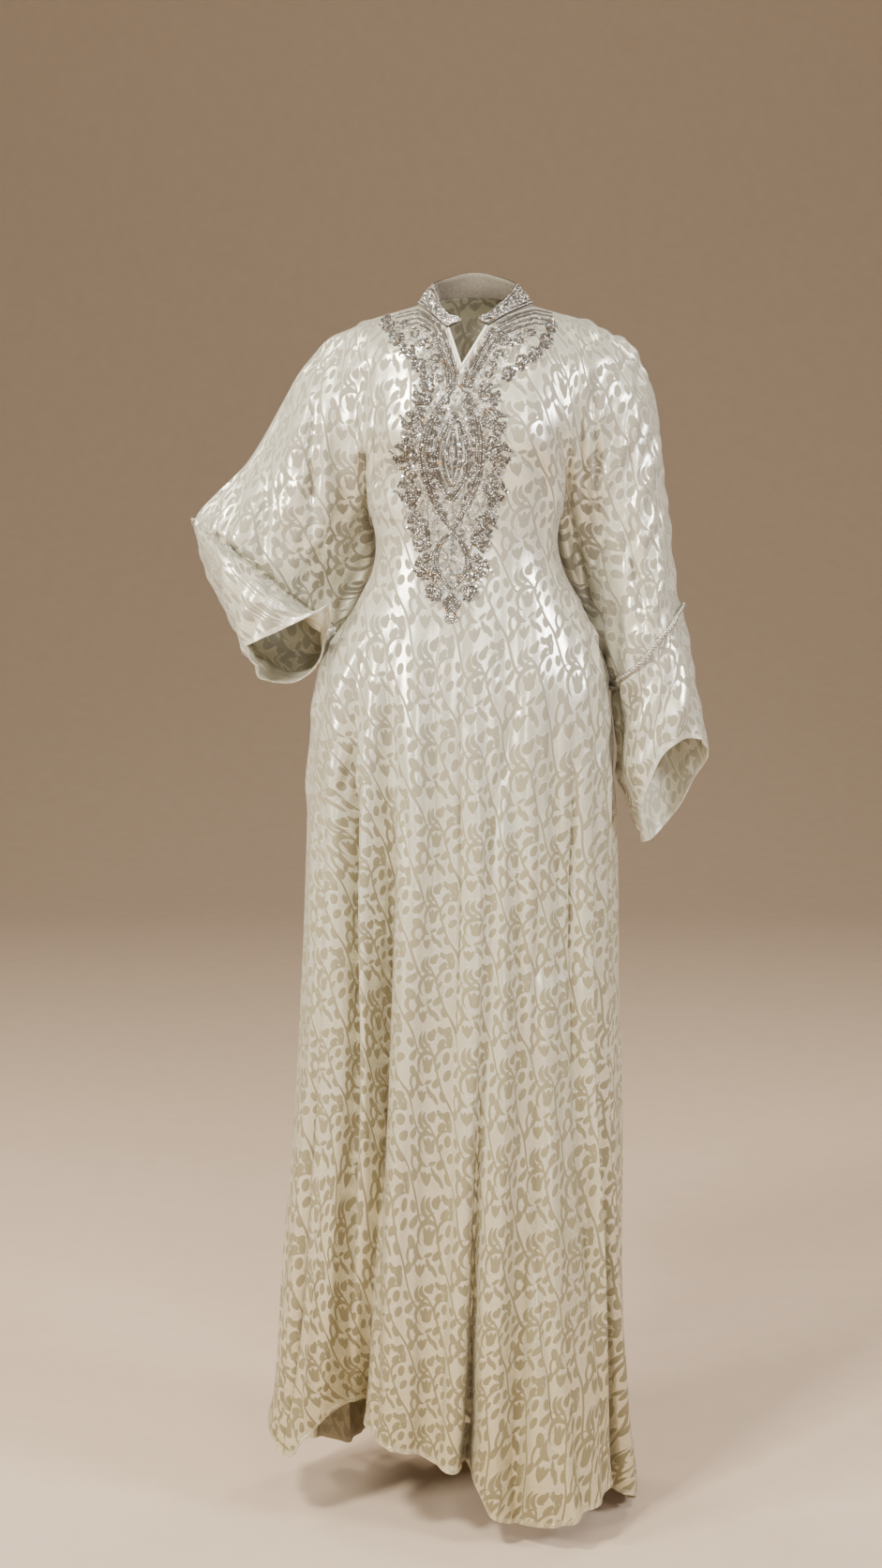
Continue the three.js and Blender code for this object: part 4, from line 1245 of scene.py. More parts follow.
class Petal(NamedTuple):
    """Oval of the pattern: its middle, half-width and half-height, and turn in degrees."""

    x: float
    y: float
    wide: float
    tall: float
    turn: float


class Curl(NamedTuple):
    """Crescent of the pattern: its circle, the half-width of its stroke in the middle, and the
    direction and half-angle that it spans, in degrees."""

    x: float
    y: float
    radius: float
    stroke: float
    towards: float
    half: float


PETALS = (
    # Tulip under the arch: middle, sides and cup.
    Petal(-1, 2, 3.4, 9.5, 3), Petal(-5.4, 2, 3.0, 8.6, 20), Petal(3.4, 2, 3.0, 8.6, -16),
    Petal(-1, -3.8, 6.4, 5.8, 0),
    # Hanging bud.
    Petal(-9, -39, 3.4, 8.6, 6), Petal(-13, -38, 2.8, 7.4, 22), Petal(-5.2, -38, 2.8, 7.4, -16),
    # Drops that hang from the bud's branch.
    Petal(2.5, -32, 2.8, 9.0, 24), Petal(9.5, -39, 3.0, 9.0, 30),
    # Leaves on the arch's tail.
    Petal(-17, -26, 3.0, 8.0, -24), Petal(-25.5, -36, 4.6, 7.6, -14), Petal(-24.5, -7, 4.8, 8.0, 20),
    # Leaves and buds along the steep stem.
    Petal(13.5, 0, 3.0, 6.8, -30), Petal(12, -20, 4.6, 8.0, -38), Petal(26, -10, 4.6, 7.8, -26),
    Petal(20, -36, 4.2, 7.4, 16), Petal(1, -20, 2.8, 6.0, -62),
    # Leaves of the upper branch.
    Petal(24, 10, 4.6, 8.0, -12), Petal(17, 26, 4.6, 7.6, -34), Petal(27, 28, 4.0, 7.0, 14),
    Petal(6.5, 38, 3.6, 8.0, -14), Petal(25, 40, 4.6, 7.4, -18), Petal(16, 42, 3.2, 6.6, 30),
    Petal(-24.5, 13, 4.4, 7.6, -34), Petal(-27, 30, 3.8, 7.0, 12),
)
CURLS = (
    # The tulip's arch, and the coil over it.
    Curl(-1, 1, 14.5, 2.6, 130, 118), Curl(1, -9, 17.0, 2.2, 208, 44),
    Curl(3, 34, 15.5, 2.4, 200, 62), Curl(5, 36, 10.5, 2.2, 200, 66), Curl(8, 38, 6.0, 1.9, 205, 84),
    # Tendrils.
    Curl(27, 6, 17.0, 1.6, 140, 66), Curl(-11, -21, 16.5, 1.7, 178, 62),
    Curl(1, -43, 10.0, 1.4, 50, 74), Curl(18, 30, 12.5, 1.6, 62, 78), Curl(-14, 11, 11.0, 1.5, 150, 70),
)


@dataclass(frozen=True)
class VineMotif:
    """Repeat of the burnt-out pattern, in millimetres: slanting stems with arched tulips and leaves.

    A stem falls by one repeat and the shift while it crosses a column, flat over the arch and steep
    after it. Each shape is a distance, negative inside, and the pattern is their soft minimum.
    """

    column: float = 64.0
    repeat: float = 100.0
    shift: float = 0.19
    flat_at: float = 0.4
    flat_y: float = 19.0
    swing: float = 0.8
    stem: float = 1.6
    wriggle: float = 8.0

    def oval(self, x: Field, y: Field, petal: Petal) -> Field:
        """Distance to an oval: (|(x / a, y / b)|^2 - 1) * min(a, b) / 2 in its turned frame.

        Args:
            x: Place across the repeat.
            y: Place up it.
            petal: The oval.
        Returns:
            The distance.
        """
        c, s = math.cos(math.radians(petal.turn)), math.sin(math.radians(petal.turn))
        a, b = petal.wide, petal.tall
        across = y.do("MULTIPLY_ADD", s / a, -(petal.x * c + petal.y * s) / a)
        across = x.do("MULTIPLY_ADD", c / a, across)
        up = y.do("MULTIPLY_ADD", c / b, (petal.x * s - petal.y * c) / b)
        up = x.do("MULTIPLY_ADD", -s / b, up)
        scale = min(a, b) / 2
        return across.do("MULTIPLY_ADD", across, up * up).do("MULTIPLY_ADD", scale, -scale)

    def crescent(self, x: Field, y: Field, curl: Curl) -> Field:
        """Distance to a crescent: |distance to its circle|, less a stroke that fades to its ends.

        Args:
            x: Place across the repeat.
            y: Place up it.
            curl: The crescent.
        Returns:
            The distance.
        """
        dx, dy = x - curl.x, y - curl.y
        ring = ((dx * dx + dy * dy).do("SQRT") - curl.radius).do("ABSOLUTE")
        c, s = math.cos(math.radians(curl.towards)), math.sin(math.radians(curl.towards))
        end = math.cos(math.radians(curl.half))
        fade = curl.stroke * 1.25 / (curl.radius * (1 - end))
        return ring + (dx * c + dy * s).do("MULTIPLY_ADD", -fade, curl.radius * end * fade)

    def distance(self, across: Field, up: Field) -> Field:
        """Distance to the pattern at cloth coordinates in millimetres, negative inside.

        Args:
            across: Place across the cloth.
            up: Place up it.
        Returns:
            The distance.
        """
        u = across * (1 / self.column)
        number = u.do("FLOOR")
        u = u - number
        x = (u - 0.5) * self.column
        y = up + number * (self.repeat * self.shift)
        y = ((y * (1 / self.repeat)).do("FRACT") - 0.5) * self.repeat
        turn = (u - self.flat_at) * (2 * math.pi)
        fall = self.repeat * (1 + self.shift)
        swing = turn.do("SINE") * (self.swing * fall / (2 * math.pi))
        sway = swing + (turn * 2.0).do("SINE") * self.wriggle
        path = (u - self.flat_at).do("MULTIPLY_ADD", -fall, sway) + self.flat_y
        gap = (((y - path) * (1 / self.repeat) + 0.5).do("FRACT") - 0.5).do("ABSOLUTE") * self.repeat
        slope = (turn.do("COSINE") * -self.swing + 1.0) * (fall / self.column)
        slope = slope - (turn * 2.0).do("COSINE") * (4 * math.pi * self.wriggle / self.column)
        total = gap.do("DIVIDE", slope.do("MULTIPLY_ADD", slope, 1.0).do("SQRT")) - self.stem
        for curl in CURLS:
            total = total.do("SMOOTH_MIN", self.crescent(x, y, curl), 1.5)
        for petal in PETALS:
            total = total.do("SMOOTH_MIN", self.oval(x, y, petal), 1.0)
        return total


@dataclass(frozen=True)
class DevoreSatin:
    """Ivory silk and viscose satin with the viscose burnt out in a vine pattern.

    The satin's long floats give a soft bright sheen; the burnt-out motif is a thin matt ground weave
    that lets some light through, so it looks beige. The hem ends at `hem_to` mm from the edge, and is
    stitched at `stitch_at` mm.
    """

    satin: str = "#ECEBDC"
    satin_shade: str = "#DAD3B8"
    motif: str = "#948B6E"
    motif_high: str = "#958E7C"
    # Whiter colour of the hem, also used for the painted highlight along the motifs' edges.
    hem: str = "#F4F1E6"
    # Multiplied into the lower skirt as painted shade and painted warm bounce light.
    low_painted_shade: str = "#E0D7C2"
    hem_to: float = 7.0
    stitch_at: float = 5.2
    stitch_share: float = 0.62
    stitches_per_metre: float = 400.0
    satin_roughness: float = 0.27
    satin_metal: float = 0.5
    motif_roughness: float = 0.6
    motifs: VineMotif = VineMotif()

    def build(self) -> bpy.types.Material:
        """Make the material.

        Returns:
            The material.
        """
        g = Graph("Devore silk satin")
        flat = g.node("ShaderNodeUVMap", {"uv_map": "cloth"}).outputs[0]
        # The motifs wander by up to 12 mm over 140 mm, as on cloth that hangs off its grain, and their
        # rows drift by up to 40 mm over 400 mm.
        swayed = flat
        for scale, shift in ((7.0, (0.02, 0.034, 0.0)), (2.4, (0.03, 0.11, 0.0))):
            sway = g.node("ShaderNodeTexNoise", {}, Vector=flat, Scale=scale, Detail=0.0)
            sway = sway.outputs["Color"]
            add = {"operation": "MULTIPLY_ADD"}
            swayed = g.node("ShaderNodeVectorMath", add, _0=sway, _1=shift, _2=swayed).outputs[0]
        parts = g.node("ShaderNodeSeparateXYZ", {}, _0=swayed)
        across = Field(g, parts.outputs[0]) * 1000.0
        up = Field(g, parts.outputs[1]) * 1000.0
        distance = self.motifs.distance(across, up)
        edge = Field(g, g.node("ShaderNodeAttribute", {"attribute_name": "edge_mm"}).outputs["Fac"])
        hem = (edge * -1.0).do("ADD", self.hem_to, clamp=True)
        stitch = (edge - self.stitch_at).do("ABSOLUTE").do("MULTIPLY_ADD", -2.5, 1.2, clamp=True)
        plain = g.node("ShaderNodeSeparateXYZ", {}, _0=flat)
        along = (Field(g, plain.outputs[0]) + Field(g, plain.outputs[1])) * self.stitches_per_metre
        stitch = stitch * along.do("FRACT").do("LESS_THAN", self.stitch_share)
        mask = distance.do("MULTIPLY_ADD", -1.1, 0.5, clamp=True) * hem.do("MULTIPLY_ADD", -0.4, 1.0)
        # The wrong side is plain twill with the pattern only faintly seen.
        inner = Field(g, g.node("ShaderNodeAttribute", {"attribute_name": "wrong_side"}).outputs["Fac"])
        mask = mask * inner.do("MULTIPLY_ADD", -0.72, 1.0)
        # Above the hips the burnt-out ground lies on a second layer and looks greyer. From 600 mm down
        # to the hem the free skirt is darkened and warmed: painted shade where less light reaches it,
        # and painted warm bounce light from the floor.
        place = g.node("ShaderNodeTexCoord").outputs["Object"]
        level = Field(g, g.node("ShaderNodeSeparateXYZ", {}, _0=place).outputs[2])
        high = level.do("MULTIPLY_ADD", 4.0, 2.6, clamp=True)
        low = level.do("MULTIPLY_ADD", -1.3, -0.8, clamp=True)
        # A painted highlight 1.8 mm wide runs along the satin where it stops at a motif, for the light
        # caught by its raised edge.
        painted_edge_highlight = (distance - 0.9).do("ABSOLUTE").do("MULTIPLY_ADD", -1.1, 1.0, clamp=True)
        # Cloudy change of tone, about 120 mm across, as hand-dyed satin shows.
        cloud = g.node("ShaderNodeTexNoise", {}, Vector=flat, Scale=8.0, Detail=1.0)
        ground = g.blend(cloud.outputs["Fac"], self.satin, self.satin_shade)
        # The ground is whitened by the painted edge highlight and by the hem's whiter colour.
        bright = (painted_edge_highlight * 0.75).high(hem * 0.4)
        ground = g.blend(bright.socket, ground, self.hem)
        burnt = g.blend(high.socket, self.motif, self.motif_high)
        # The lower skirt takes painted shade and painted warm bounce light here.
        base = g.blend(low.socket, g.blend(mask.socket, ground, burnt), self.low_painted_shade, "MULTIPLY")
        # Threads 1.3 mm apart, coarser than the real 0.2 mm so that they show, and crushed slack.
        thread = g.node("ShaderNodeTexWave", {"bands_direction": "DIAGONAL"}, Vector=flat, Scale=350.0)
        slack = g.node("ShaderNodeTexNoise", {}, Vector=flat, Scale=34.0, Detail=1.0, Roughness=0.6)
        # Crushed lines that run with the warp, about 14 mm across and 60 mm long.
        times = {"operation": "MULTIPLY"}
        long_way = g.node("ShaderNodeVectorMath", times, _0=flat, _1=(1.0, 0.22, 1.0)).outputs[0]
        crush = g.node("ShaderNodeTexNoise", {}, Vector=long_way, Scale=72.0, Detail=1.0)
        height = Field(g, thread.outputs["Fac"]) * 0.05 + Field(g, slack.outputs["Fac"]) * 0.9
        height = height + Field(g, crush.outputs["Fac"]) * 1.6 - stitch * 0.8
        bump = g.node("ShaderNodeBump", {}, Strength=0.6, Distance=0.001, Height=height.socket)
        rougher = self.motif_roughness - self.satin_roughness
        rough = mask.do("MULTIPLY_ADD", rougher, self.satin_roughness)
        shader = g.node(
            "ShaderNodeBsdfPrincipled",
            {},
            Base_Color=base,
            Roughness=rough.socket,
            Normal=bump.outputs[0],
            Metallic=mask.high(inner).do("MULTIPLY_ADD", -self.satin_metal, self.satin_metal).socket,
            Sheen_Weight=0.15,
            Sheen_Roughness=0.4,
        )
        through = g.node("ShaderNodeBsdfTranslucent", {}, Color=base, Normal=bump.outputs[0])
        share = inner.do("MULTIPLY_ADD", 0.36, 0.14).socket
        both = g.node("ShaderNodeMixShader", {}, _0=share, _1=shader.outputs[0], _2=through.outputs[0])
        return g.finish(both.outputs[0])


@dataclass(frozen=True)
class BeadSilver:
    """Silver-lined glass seed beads: metallic flashes over warm grey, each bead a little different."""

    light: str = "#FFFDF8"
    dark: str = "#4E463C"
    gold: str = "#C79A5C"
    gold_share: float = 0.045

    def build(self) -> bpy.types.Material:
        """Make the material.

        Returns:
            The material.
        """
        g = Graph("Silver-lined glass beads")
        place = g.node("ShaderNodeTexCoord").outputs["Object"]
        # One cell is about a bead, 3 mm.
        cells = g.node("ShaderNodeTexVoronoi", {}, Vector=place, Scale=330.0)
        value = g.node("ShaderNodeSeparateColor", {}, _0=cells.outputs["Color"])
        tone = g.blend(value.outputs[0], self.dark, self.light)
        rare = Field(g, value.outputs[1]).do("GREATER_THAN", 1 - self.gold_share)
        base = g.blend(rare.socket, tone, self.gold)
        shader = g.node("ShaderNodeBsdfPrincipled", {}, Base_Color=base, Metallic=0.8, Roughness=0.2)
        return g.finish(shader.outputs[0])


@dataclass(frozen=True)
class Plain:
    """A finish of one colour with fine grain, for trims."""

    name: str
    tone: str
    shade: str
    metallic: float
    roughness: float
    grain: float

    def build(self) -> bpy.types.Material:
        """Make the material; `grain` is the size of its fine change of tone in millimetres.

        Returns:
            The material.
        """
        g = Graph(self.name)
        place = g.node("ShaderNodeTexCoord").outputs["Object"]
        noise = g.node("ShaderNodeTexNoise", {}, Vector=place, Scale=1000.0 / self.grain, Detail=2.0)
        base = g.blend(noise.outputs["Fac"], self.shade, self.tone)
        bump = g.node("ShaderNodeBump", {}, Strength=0.4, Distance=0.0004, Height=noise.outputs["Fac"])
        shader = g.node(
            "ShaderNodeBsdfPrincipled",
            {},
            Base_Color=base,
            Metallic=self.metallic,
            Roughness=self.roughness,
            Normal=bump.outputs[0],
        )
        return g.finish(shader.outputs[0])


# Lead crystal: clear stones with a foiled back, which flash white.
CRYSTAL = Plain("Foiled crystal", "#F4F6F8", "#C9CED6", 0.9, 0.06, 4.0)
# Metallised braid: silver thread twisted in two strands. Its near-black speckle is painted shade for
# the valleys between the strands.
BRAID_WITH_PAINTED_SHADE = Plain("Silver braid", "#E0D9CC", "#2E2822", 0.6, 0.3, 3.4)
# Satin piping: bias-cut satin rolled over a cord, whiter than the cloth.
PIPING = Plain("Satin piping", "#F1EEE6", "#DDD7C8", 0.0, 0.45, 2.0)
# Couching cord: metal thread laid in lines under the beads. Its dark grey-brown is partly the
# thread's colour and partly painted shade for the shadows round the beads.
COUCHING_AND_PAINTED_SHADE = Plain("Metal couching thread", "#534A3F", "#2C261F", 0.3, 0.5, 1.5)
# Net that carries the collar's beads: grey-brown, seen only in specks between them.
NET = Plain("Beaded net ground", "#8E8475", "#5B5145", 0.2, 0.55, 2.5)
# Floor and wall: heavy matt paper with a faint change of tone.
PAPER = Plain("Matt paper", "#C8B29B", "#C0A992", 0.0, 0.9, 40.0)


# ---- Sub-assemblies ----


@dataclass
class Panels:
    """The four pieces of cloth. `cuts` gives each whole cut's width, length and area in metres, and
    edges sharper than `sharp` degrees aren't shaded smooth."""

    cloth: Cloth
    finish: DevoreSatin = DevoreSatin()
    sharp: float = 65.0
    cuts: tuple[tuple[Panel, float, float, float], ...] = (
        (Panel.FRONT, 1.09, 1.55, 0.96),
        (Panel.BACK, 1.04, 1.53, 0.92),
        (Panel.LOWER_SLEEVE_LEFT, 0.38, 0.2, 0.063),
        (Panel.LOWER_SLEEVE_RIGHT, 0.42, 0.15, 0.052),
    )

    def build(self) -> None:
        material = self.finish.build()
        for panel, width, length, area in self.cuts:
            points, faces, flat, edge = self.cloth.wall_of(panel)
            item = make_object(f"cloth_{panel.value}", points, faces, flat)
            inner = np.repeat([0.0, 1.0], len(points) // 2)
            for name, values in (("edge_mm", edge), ("wrong_side", inner)):
                layer = item.data.attributes.new(name, "FLOAT", "POINT")
                layer.data.foreach_set("value", values.astype(np.float32))
            item.data.set_sharp_from_angle(angle=math.radians(self.sharp))
            item.data.materials.append(material)
            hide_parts(panel.value)
            log.info("%s: %d points, %d faces", item.name, len(points), len(faces))


@dataclass
class Collar:
    """Stand collar on the neckline, with two pointed free ends, covered with beads.

    `gap` is the free space under its foot, and each tip is a point at the foot and one at the top.
    """

    cloth: Cloth
    wall: float = 2.6
    rows: int = 10
    count: int = 150
    sharp: float = 60.0
    gap: float = 1.0
    right_tip: tuple[tuple[float, ...], ...] = ((-18.0, -77.0, -5.0), (-17.5, -75.0, -1.5))
    left_tip: tuple[tuple[float, ...], ...] = ((3.0, -77.0, -3.0), (4.0, -75.0, 1.5))
    shape: Table = Table(
        ("angle", "rise", "lean"),
        (
            (0, 25, 22), (30, 19, 20), (55, 14, 15), (80, 12, 8), (115, 14, 8), (130, 13, 14),
            (150, 19, 20), (180, 25, 22), (215, 27, 16), (270, 29, 10), (325, 27, 16), (360, 25, 22),
        ),
    )

    def stations(self) -> tuple[Array, Array]:
        """Foot and top of the collar from its right tip round the back to its left tip.

        Returns:
            Points of the foot and of the top.
        """
        front, back = self.cloth.neckline[False], self.cloth.neckline[True]
        right = between(front, -NECK_HALF, NOTCH_RIGHT)[::-1]
        behind = between(back, -NECK_HALF, NECK_HALF)[1:-1]
        left = between(front, NOTCH_LEFT, NECK_HALF)[::-1]
        seam = np.concatenate([right, behind, left])
        angle = np.degrees(np.arctan2(-seam[:, 1], seam[:, 0])) % 360
        up = unit(seam * np.array([1.0, 1.0, 0.0])) * -self.shape.read("lean", angle)[:, None]
        up[:, 2] = self.shape.read("rise", angle)
        foot = seam + unit(up) * self.gap
        (right_foot, right_top), (left_foot, left_top) = self.right_tip, self.left_tip
        top = np.concatenate([[right_top], foot + up, [left_top]])
        return np.concatenate([[right_foot], foot, [left_foot]]), top

    def build(self) -> None:
        """Make the collar's cloth: straight from foot to top, with a rounded upper edge."""
        foot, top = self.stations()
        walked = run_length(foot)
        at = np.linspace(0, walked[-1], self.count)
        foot, top = read_line(foot, walked, at), read_line(top, walked, at)
        self.foot, self.top, self.length = foot, top, walked[-1]
        face = unit(np.cross(np.gradient(foot, axis=0), top - foot))
        wrong = (face * foot * np.array([1, 1, 0])).sum(1) < 0
        face[wrong] *= -1
        self.face = face
        share = np.linspace(0, 1, self.rows + 1)
        half = self.wall / 2 * np.sqrt(1 - np.clip((share - 0.9) / 0.1, 0, 0.98) ** 2)
        middle = mix(foot[:, None], top[:, None], share[None, :, None])
        outer = middle + face[:, None] * half[None, :, None]
        inner = middle - face[:, None] * half[None, :, None]
        loop = np.concatenate([outer, inner[:, ::-1]], 1)
        count, around = loop.shape[:2]
        number = np.arange(count * around).reshape(count, around)
        nxt = np.roll(number, -1, 1)
        sides = np.stack([number[:-1], number[1:], nxt[1:], nxt[:-1]], -1).reshape(-1, 4)
        ends = []
        for row, flip in ((0, False), (count - 1, True)):
            for k in range(self.rows):
                a, b = number[row, k], number[row, k + 1]
                c, d = number[row, around - 2 - k], number[row, around - 1 - k]
                ends.append([a, d, c, b][:: -1 if flip else 1])
        faces = np.concatenate([sides, np.array(ends)])[:, ::-1]
        item = make_object("collar_cloth", loop.reshape(-1, 3), faces)
        item.data.set_sharp_from_angle(angle=math.radians(self.sharp))
        item.data.materials.append(NET.build())
        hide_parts("collar")
        log.info("%s: %.0f mm long", item.name, self.length)

    def place(self, along: Array, up: Array) -> tuple[Array, Array]:
        """Points and normals on the collar's outside.

        Args:
            along: Shares of the length, 0 to 1.
            up: Shares of the height, 0 to 1.
        Returns:
            Points and normals.
        """
        at = np.clip(along, 0, 1) * (len(self.foot) - 1)
        index = np.arange(len(self.foot))
        foot, top, face = (read_line(a, index, at) for a in (self.foot, self.top, self.face))
        return mix(foot, top, up[:, None]) + face * self.wall / 2, face


@dataclass
class Embroidery:
    """Beadwork on the front and the collar: couched lines set with beads, stones and a seeded fill.

    The layout is a plain one of traditional motifs: a yoke round the neck with a spray on each
    shoulder, a bordered medallion with a pointed oval and a drop in it, scrolls, small flowers
    round the edge, and a diamond at the lower end. `bead` and `cord` are radii, a lift is a height
    over the cloth, `pitch` is the distance of beads in a row, `clear` that of the fill from a row,
    and `bloom_pitch` that of the collar's flowers. The fill covers `ground_x` by `ground_z`.
    """

    cloth: Cloth
    collar: Collar
    bead: float = 1.2
    bead_lift: float = 0.8
    pitch: float = 2.9
    cord: float = 2.0
    cord_lift: float = 0.4
    stone_lift: float = 1.6
    clear: float = 1.95
    bloom_pitch: float = 26.0
    ground_x: tuple[float, float] = (-112.0, 96.0)
    ground_z: tuple[float, float] = (-350.0, 4.0)
    stone_share: float = 0.06
    medallion: Table = Table(
        ("z", "axis", "half"),
        (
            (-82, -21, 37), (-97, -23, 52), (-125, -26, 64), (-165, -29, 77), (-205, -29, 69),
            (-252, -29, 59), (-272, -29, 46), (-302, -29, 40), (-322, -29, 27), (-338, -29, 13),
            (-357, -29, 3),
        ),
    )

    def __post_init__(self) -> None:
        """Prepare the front panel for rays, and empty piles for the pieces."""
        mine = self.cloth.panels == Panel.FRONT.value
        self.ground = BVHTree.FromPolygons(self.cloth.points.tolist(), self.cloth.quads[mine].tolist())
        self.beads, self.stones, self.cords = Pile(), Pile(), Pile()
        self.rng = np.random.default_rng(41)
        self.taken: list[Array] = []

    def project(self, line: Array) -> tuple[Array, Array]:
        """Drop flat points (x, z) on the front panel.

        Args:
            line: Points seen from the front.
        Returns:
            Points and outward normals, without those that miss the cloth.
        """
        points, normals = [], []
        for x, z in line:
            hit, normal, _, _ = self.ground.ray_cast(Vector((x, RAY_Y, z)), Vector((0, 1, 0)), 420.0)
            if hit is not None and hit.y < 30:
                points.append(hit)
                normals.append(normal if normal.y < 0.3 else -normal)
        return np.array(points).reshape(-1, 3), np.array(normals).reshape(-1, 3)

    def resample(self, line: Array, step: float) -> Array:
        """Points spaced evenly along a line.

        Args:
            line: The line.
            step: Least distance of two points.
        Returns:
            The points.
        """
        walked = run_length(line)
        count = max(2, int(walked[-1] / step) + 1)
        return read_line(line, walked, np.linspace(0, walked[-1], count))

    def lay(self, points: Array, normals: Array, size: float, cord: bool = True) -> None:
        """Set beads along a line on a surface, over a couched cord.

        Args:
            points: Middles of the beads.
            normals: Unit normals.
            size: Radius of a bead.
            cord: Whether the cord is laid.
        """
        if len(points) < 2:
            return
        sizes = size * self.rng.uniform(0.85, 1.15, len(points))
        lift = normals * (self.bead_lift + sizes[:, None] * 0.7)
        self.beads.copies(bead_shape(), points + lift, normals, sizes, 0.85)
        if cord:
            rail = tube(points + normals * self.cord_lift, normals, self.cord, 6, False)
            self.cords.add(*rail)

    def row(
        self, line: Sequence[Sequence[float]] | Array, size: float | None = None, cord: bool = True
    ) -> None:
        """A row of beads along a flat line (x, z).

        Args:
            line: Points of the line.
            size: Radius of a bead, if not the usual one.
            cord: Whether the cord is laid.
        """
        even = self.resample(np.asarray(line, float), self.pitch)
        self.taken.append(even)
        self.lay(*self.project(even), size or self.bead, cord)

    def both(self, dx: Array, z: Array, size: float | None = None) -> None:
        """A row and its mirror image about the bib's leaning middle line.

        Args:
            dx: Distances from the middle line.
            z: Heights.
            size: Radius of a bead, if not the usual one.
        """
        axis = self.medallion.read("axis", z)
        for sign in (-1, 1):
            self.row(np.stack([axis + sign * dx, z], -1), size)

    def scroll(self, x: float, z: float, radius: float, turns: float, start: float, hand: int) -> None:
        """A spiral whose radius falls to a sixth of its start.

        Args:
            x: x of the middle.
            z: Its height.
            radius: Radius at the start.
            turns: Number of turns.
            start: Angle of the start in degrees.
            hand: 1 or -1, the way it turns.
        """
        t = np.linspace(0, 1, 40)
        angle = np.radians(start) + hand * 2 * np.pi * turns * t
        r = radius * (1 - 0.84 * t)
        self.row(np.stack([x + r * np.cos(angle), z + r * np.sin(angle)], -1), 1.2)

    def flower(self, x: float, z: float, radius: float, petals: int = 6) -> None:
        """A stone with a ring of petals, each a short loop of beads.

        Args:
            x: x of the middle.
            z: Its height.
            radius: Radius.
            petals: Number of petals.
        """
        t = np.linspace(0, 2 * np.pi, 10 * petals)
        r = radius * (0.72 + 0.28 * np.cos(petals * t))
        self.row(np.stack([x + r * np.cos(t), z + r * np.sin(t)], -1), 1.15)
        self.stone([(x, z)], radius * 0.36)

    def stone(self, at: Sequence[Sequence[float]], size: float) -> None:
        """Cut stones at flat points (x, z).

        Args:
            at: The points.
            size: Radius of a stone.
        """
        points, normals = self.project(np.asarray(at, float))
        if len(points):
            self.taken.append(np.asarray(at, float))
            sizes = np.full(len(points), size)
            self.stones.copies(stone_shape(), points + normals * self.stone_lift, normals, sizes, 0.6)

    def almond(self, x: float, z: float, lean: float, wide: float, tall: float) -> None:
        """A pointed loop of beads round a stone: half-width * sin(turn) * |cos(turn / 2)|.

        Args:
            x: x of the middle.
            z: Its height.
            lean: Angle from level.
            wide: Half-width.
            tall: Half-length.
        """
        t = np.linspace(0, 2 * np.pi, 16)
        across, up = wide * np.sin(t) * np.abs(np.cos(t / 2)) * 1.3, -tall * np.cos(t)
        c, s = math.cos(math.radians(lean)), math.sin(math.radians(lean))
        self.row(np.stack([x + up * c - across * s, z + up * s + across * c], -1), 1.1)
        self.stone([(x, z)], min(wide, tall) * 0.42)

    def sprig(self, x: float, z: float, lean: float, size: float) -> None:
        """A short bent stalk with a leaf pair and a tip stone, leaning by an angle from level.

        Args:
            x: x of the foot.
            z: Its height.
            lean: Angle from level.
            size: Length.
        """
        c, s = math.cos(math.radians(lean)), math.sin(math.radians(lean))
        t = np.linspace(0, 1, 6)
        bend = 0.18 * np.sin(np.pi * t)
        stalk = np.stack([x + size * (t * c - bend * s), z + size * (t * s + bend * c)], -1)
        self.row(stalk, 1.2)
        for sign in (-1, 1):
            angle = np.radians(lean) + sign * (0.95 - 0.5 * t)
            reach = size * 0.45
            leaf = [x + reach * (c + t * np.cos(angle)), z + reach * (s + t * np.sin(angle))]
            self.row(np.stack(leaf, -1), 1.1)
        self.stone([(stalk[-1, 0], stalk[-1, 1])], 2.4)

    def spray(self, x: float, z: float, lean: float, size: float) -> None:
        """A cluster that juts from the bib's edge: three sprigs, almonds between them and a flower.

        Args:
            x: x of the foot.
            z: Its height.
            lean: Angle from level.
            size: Length.
        """
        for turn, share in ((0, 1.0), (42, 0.82), (-42, 0.82)):
            self.sprig(x, z, lean + turn, size * share)
        for turn in (-21, 21):
            a, out = math.radians(lean + turn), size * 0.72
            self.almond(x + out * math.cos(a), z + out * math.sin(a), lean + turn, 2.6, 4.4)
        a, out = math.radians(lean), size * 0.28
        self.flower(x + out * math.cos(a), z + out * math.sin(a), size * 0.22)

    def mirrored(self, draw: Any, dx: float, z: float, lean: float, *sizes: float) -> None:
        """Draw a motif on both sides of the bib's middle line, leaning outwards.

        Args:
            draw: Method that draws the motif.
            dx: Distance from the middle line.
            z: Height.
            lean: Angle from level.
            sizes: Sizes of the motif.
        """
        axis = float(self.medallion.read("axis", z))
        draw(axis + dx, z, lean, *sizes)
        draw(axis - dx, z, 180 - lean, *sizes)

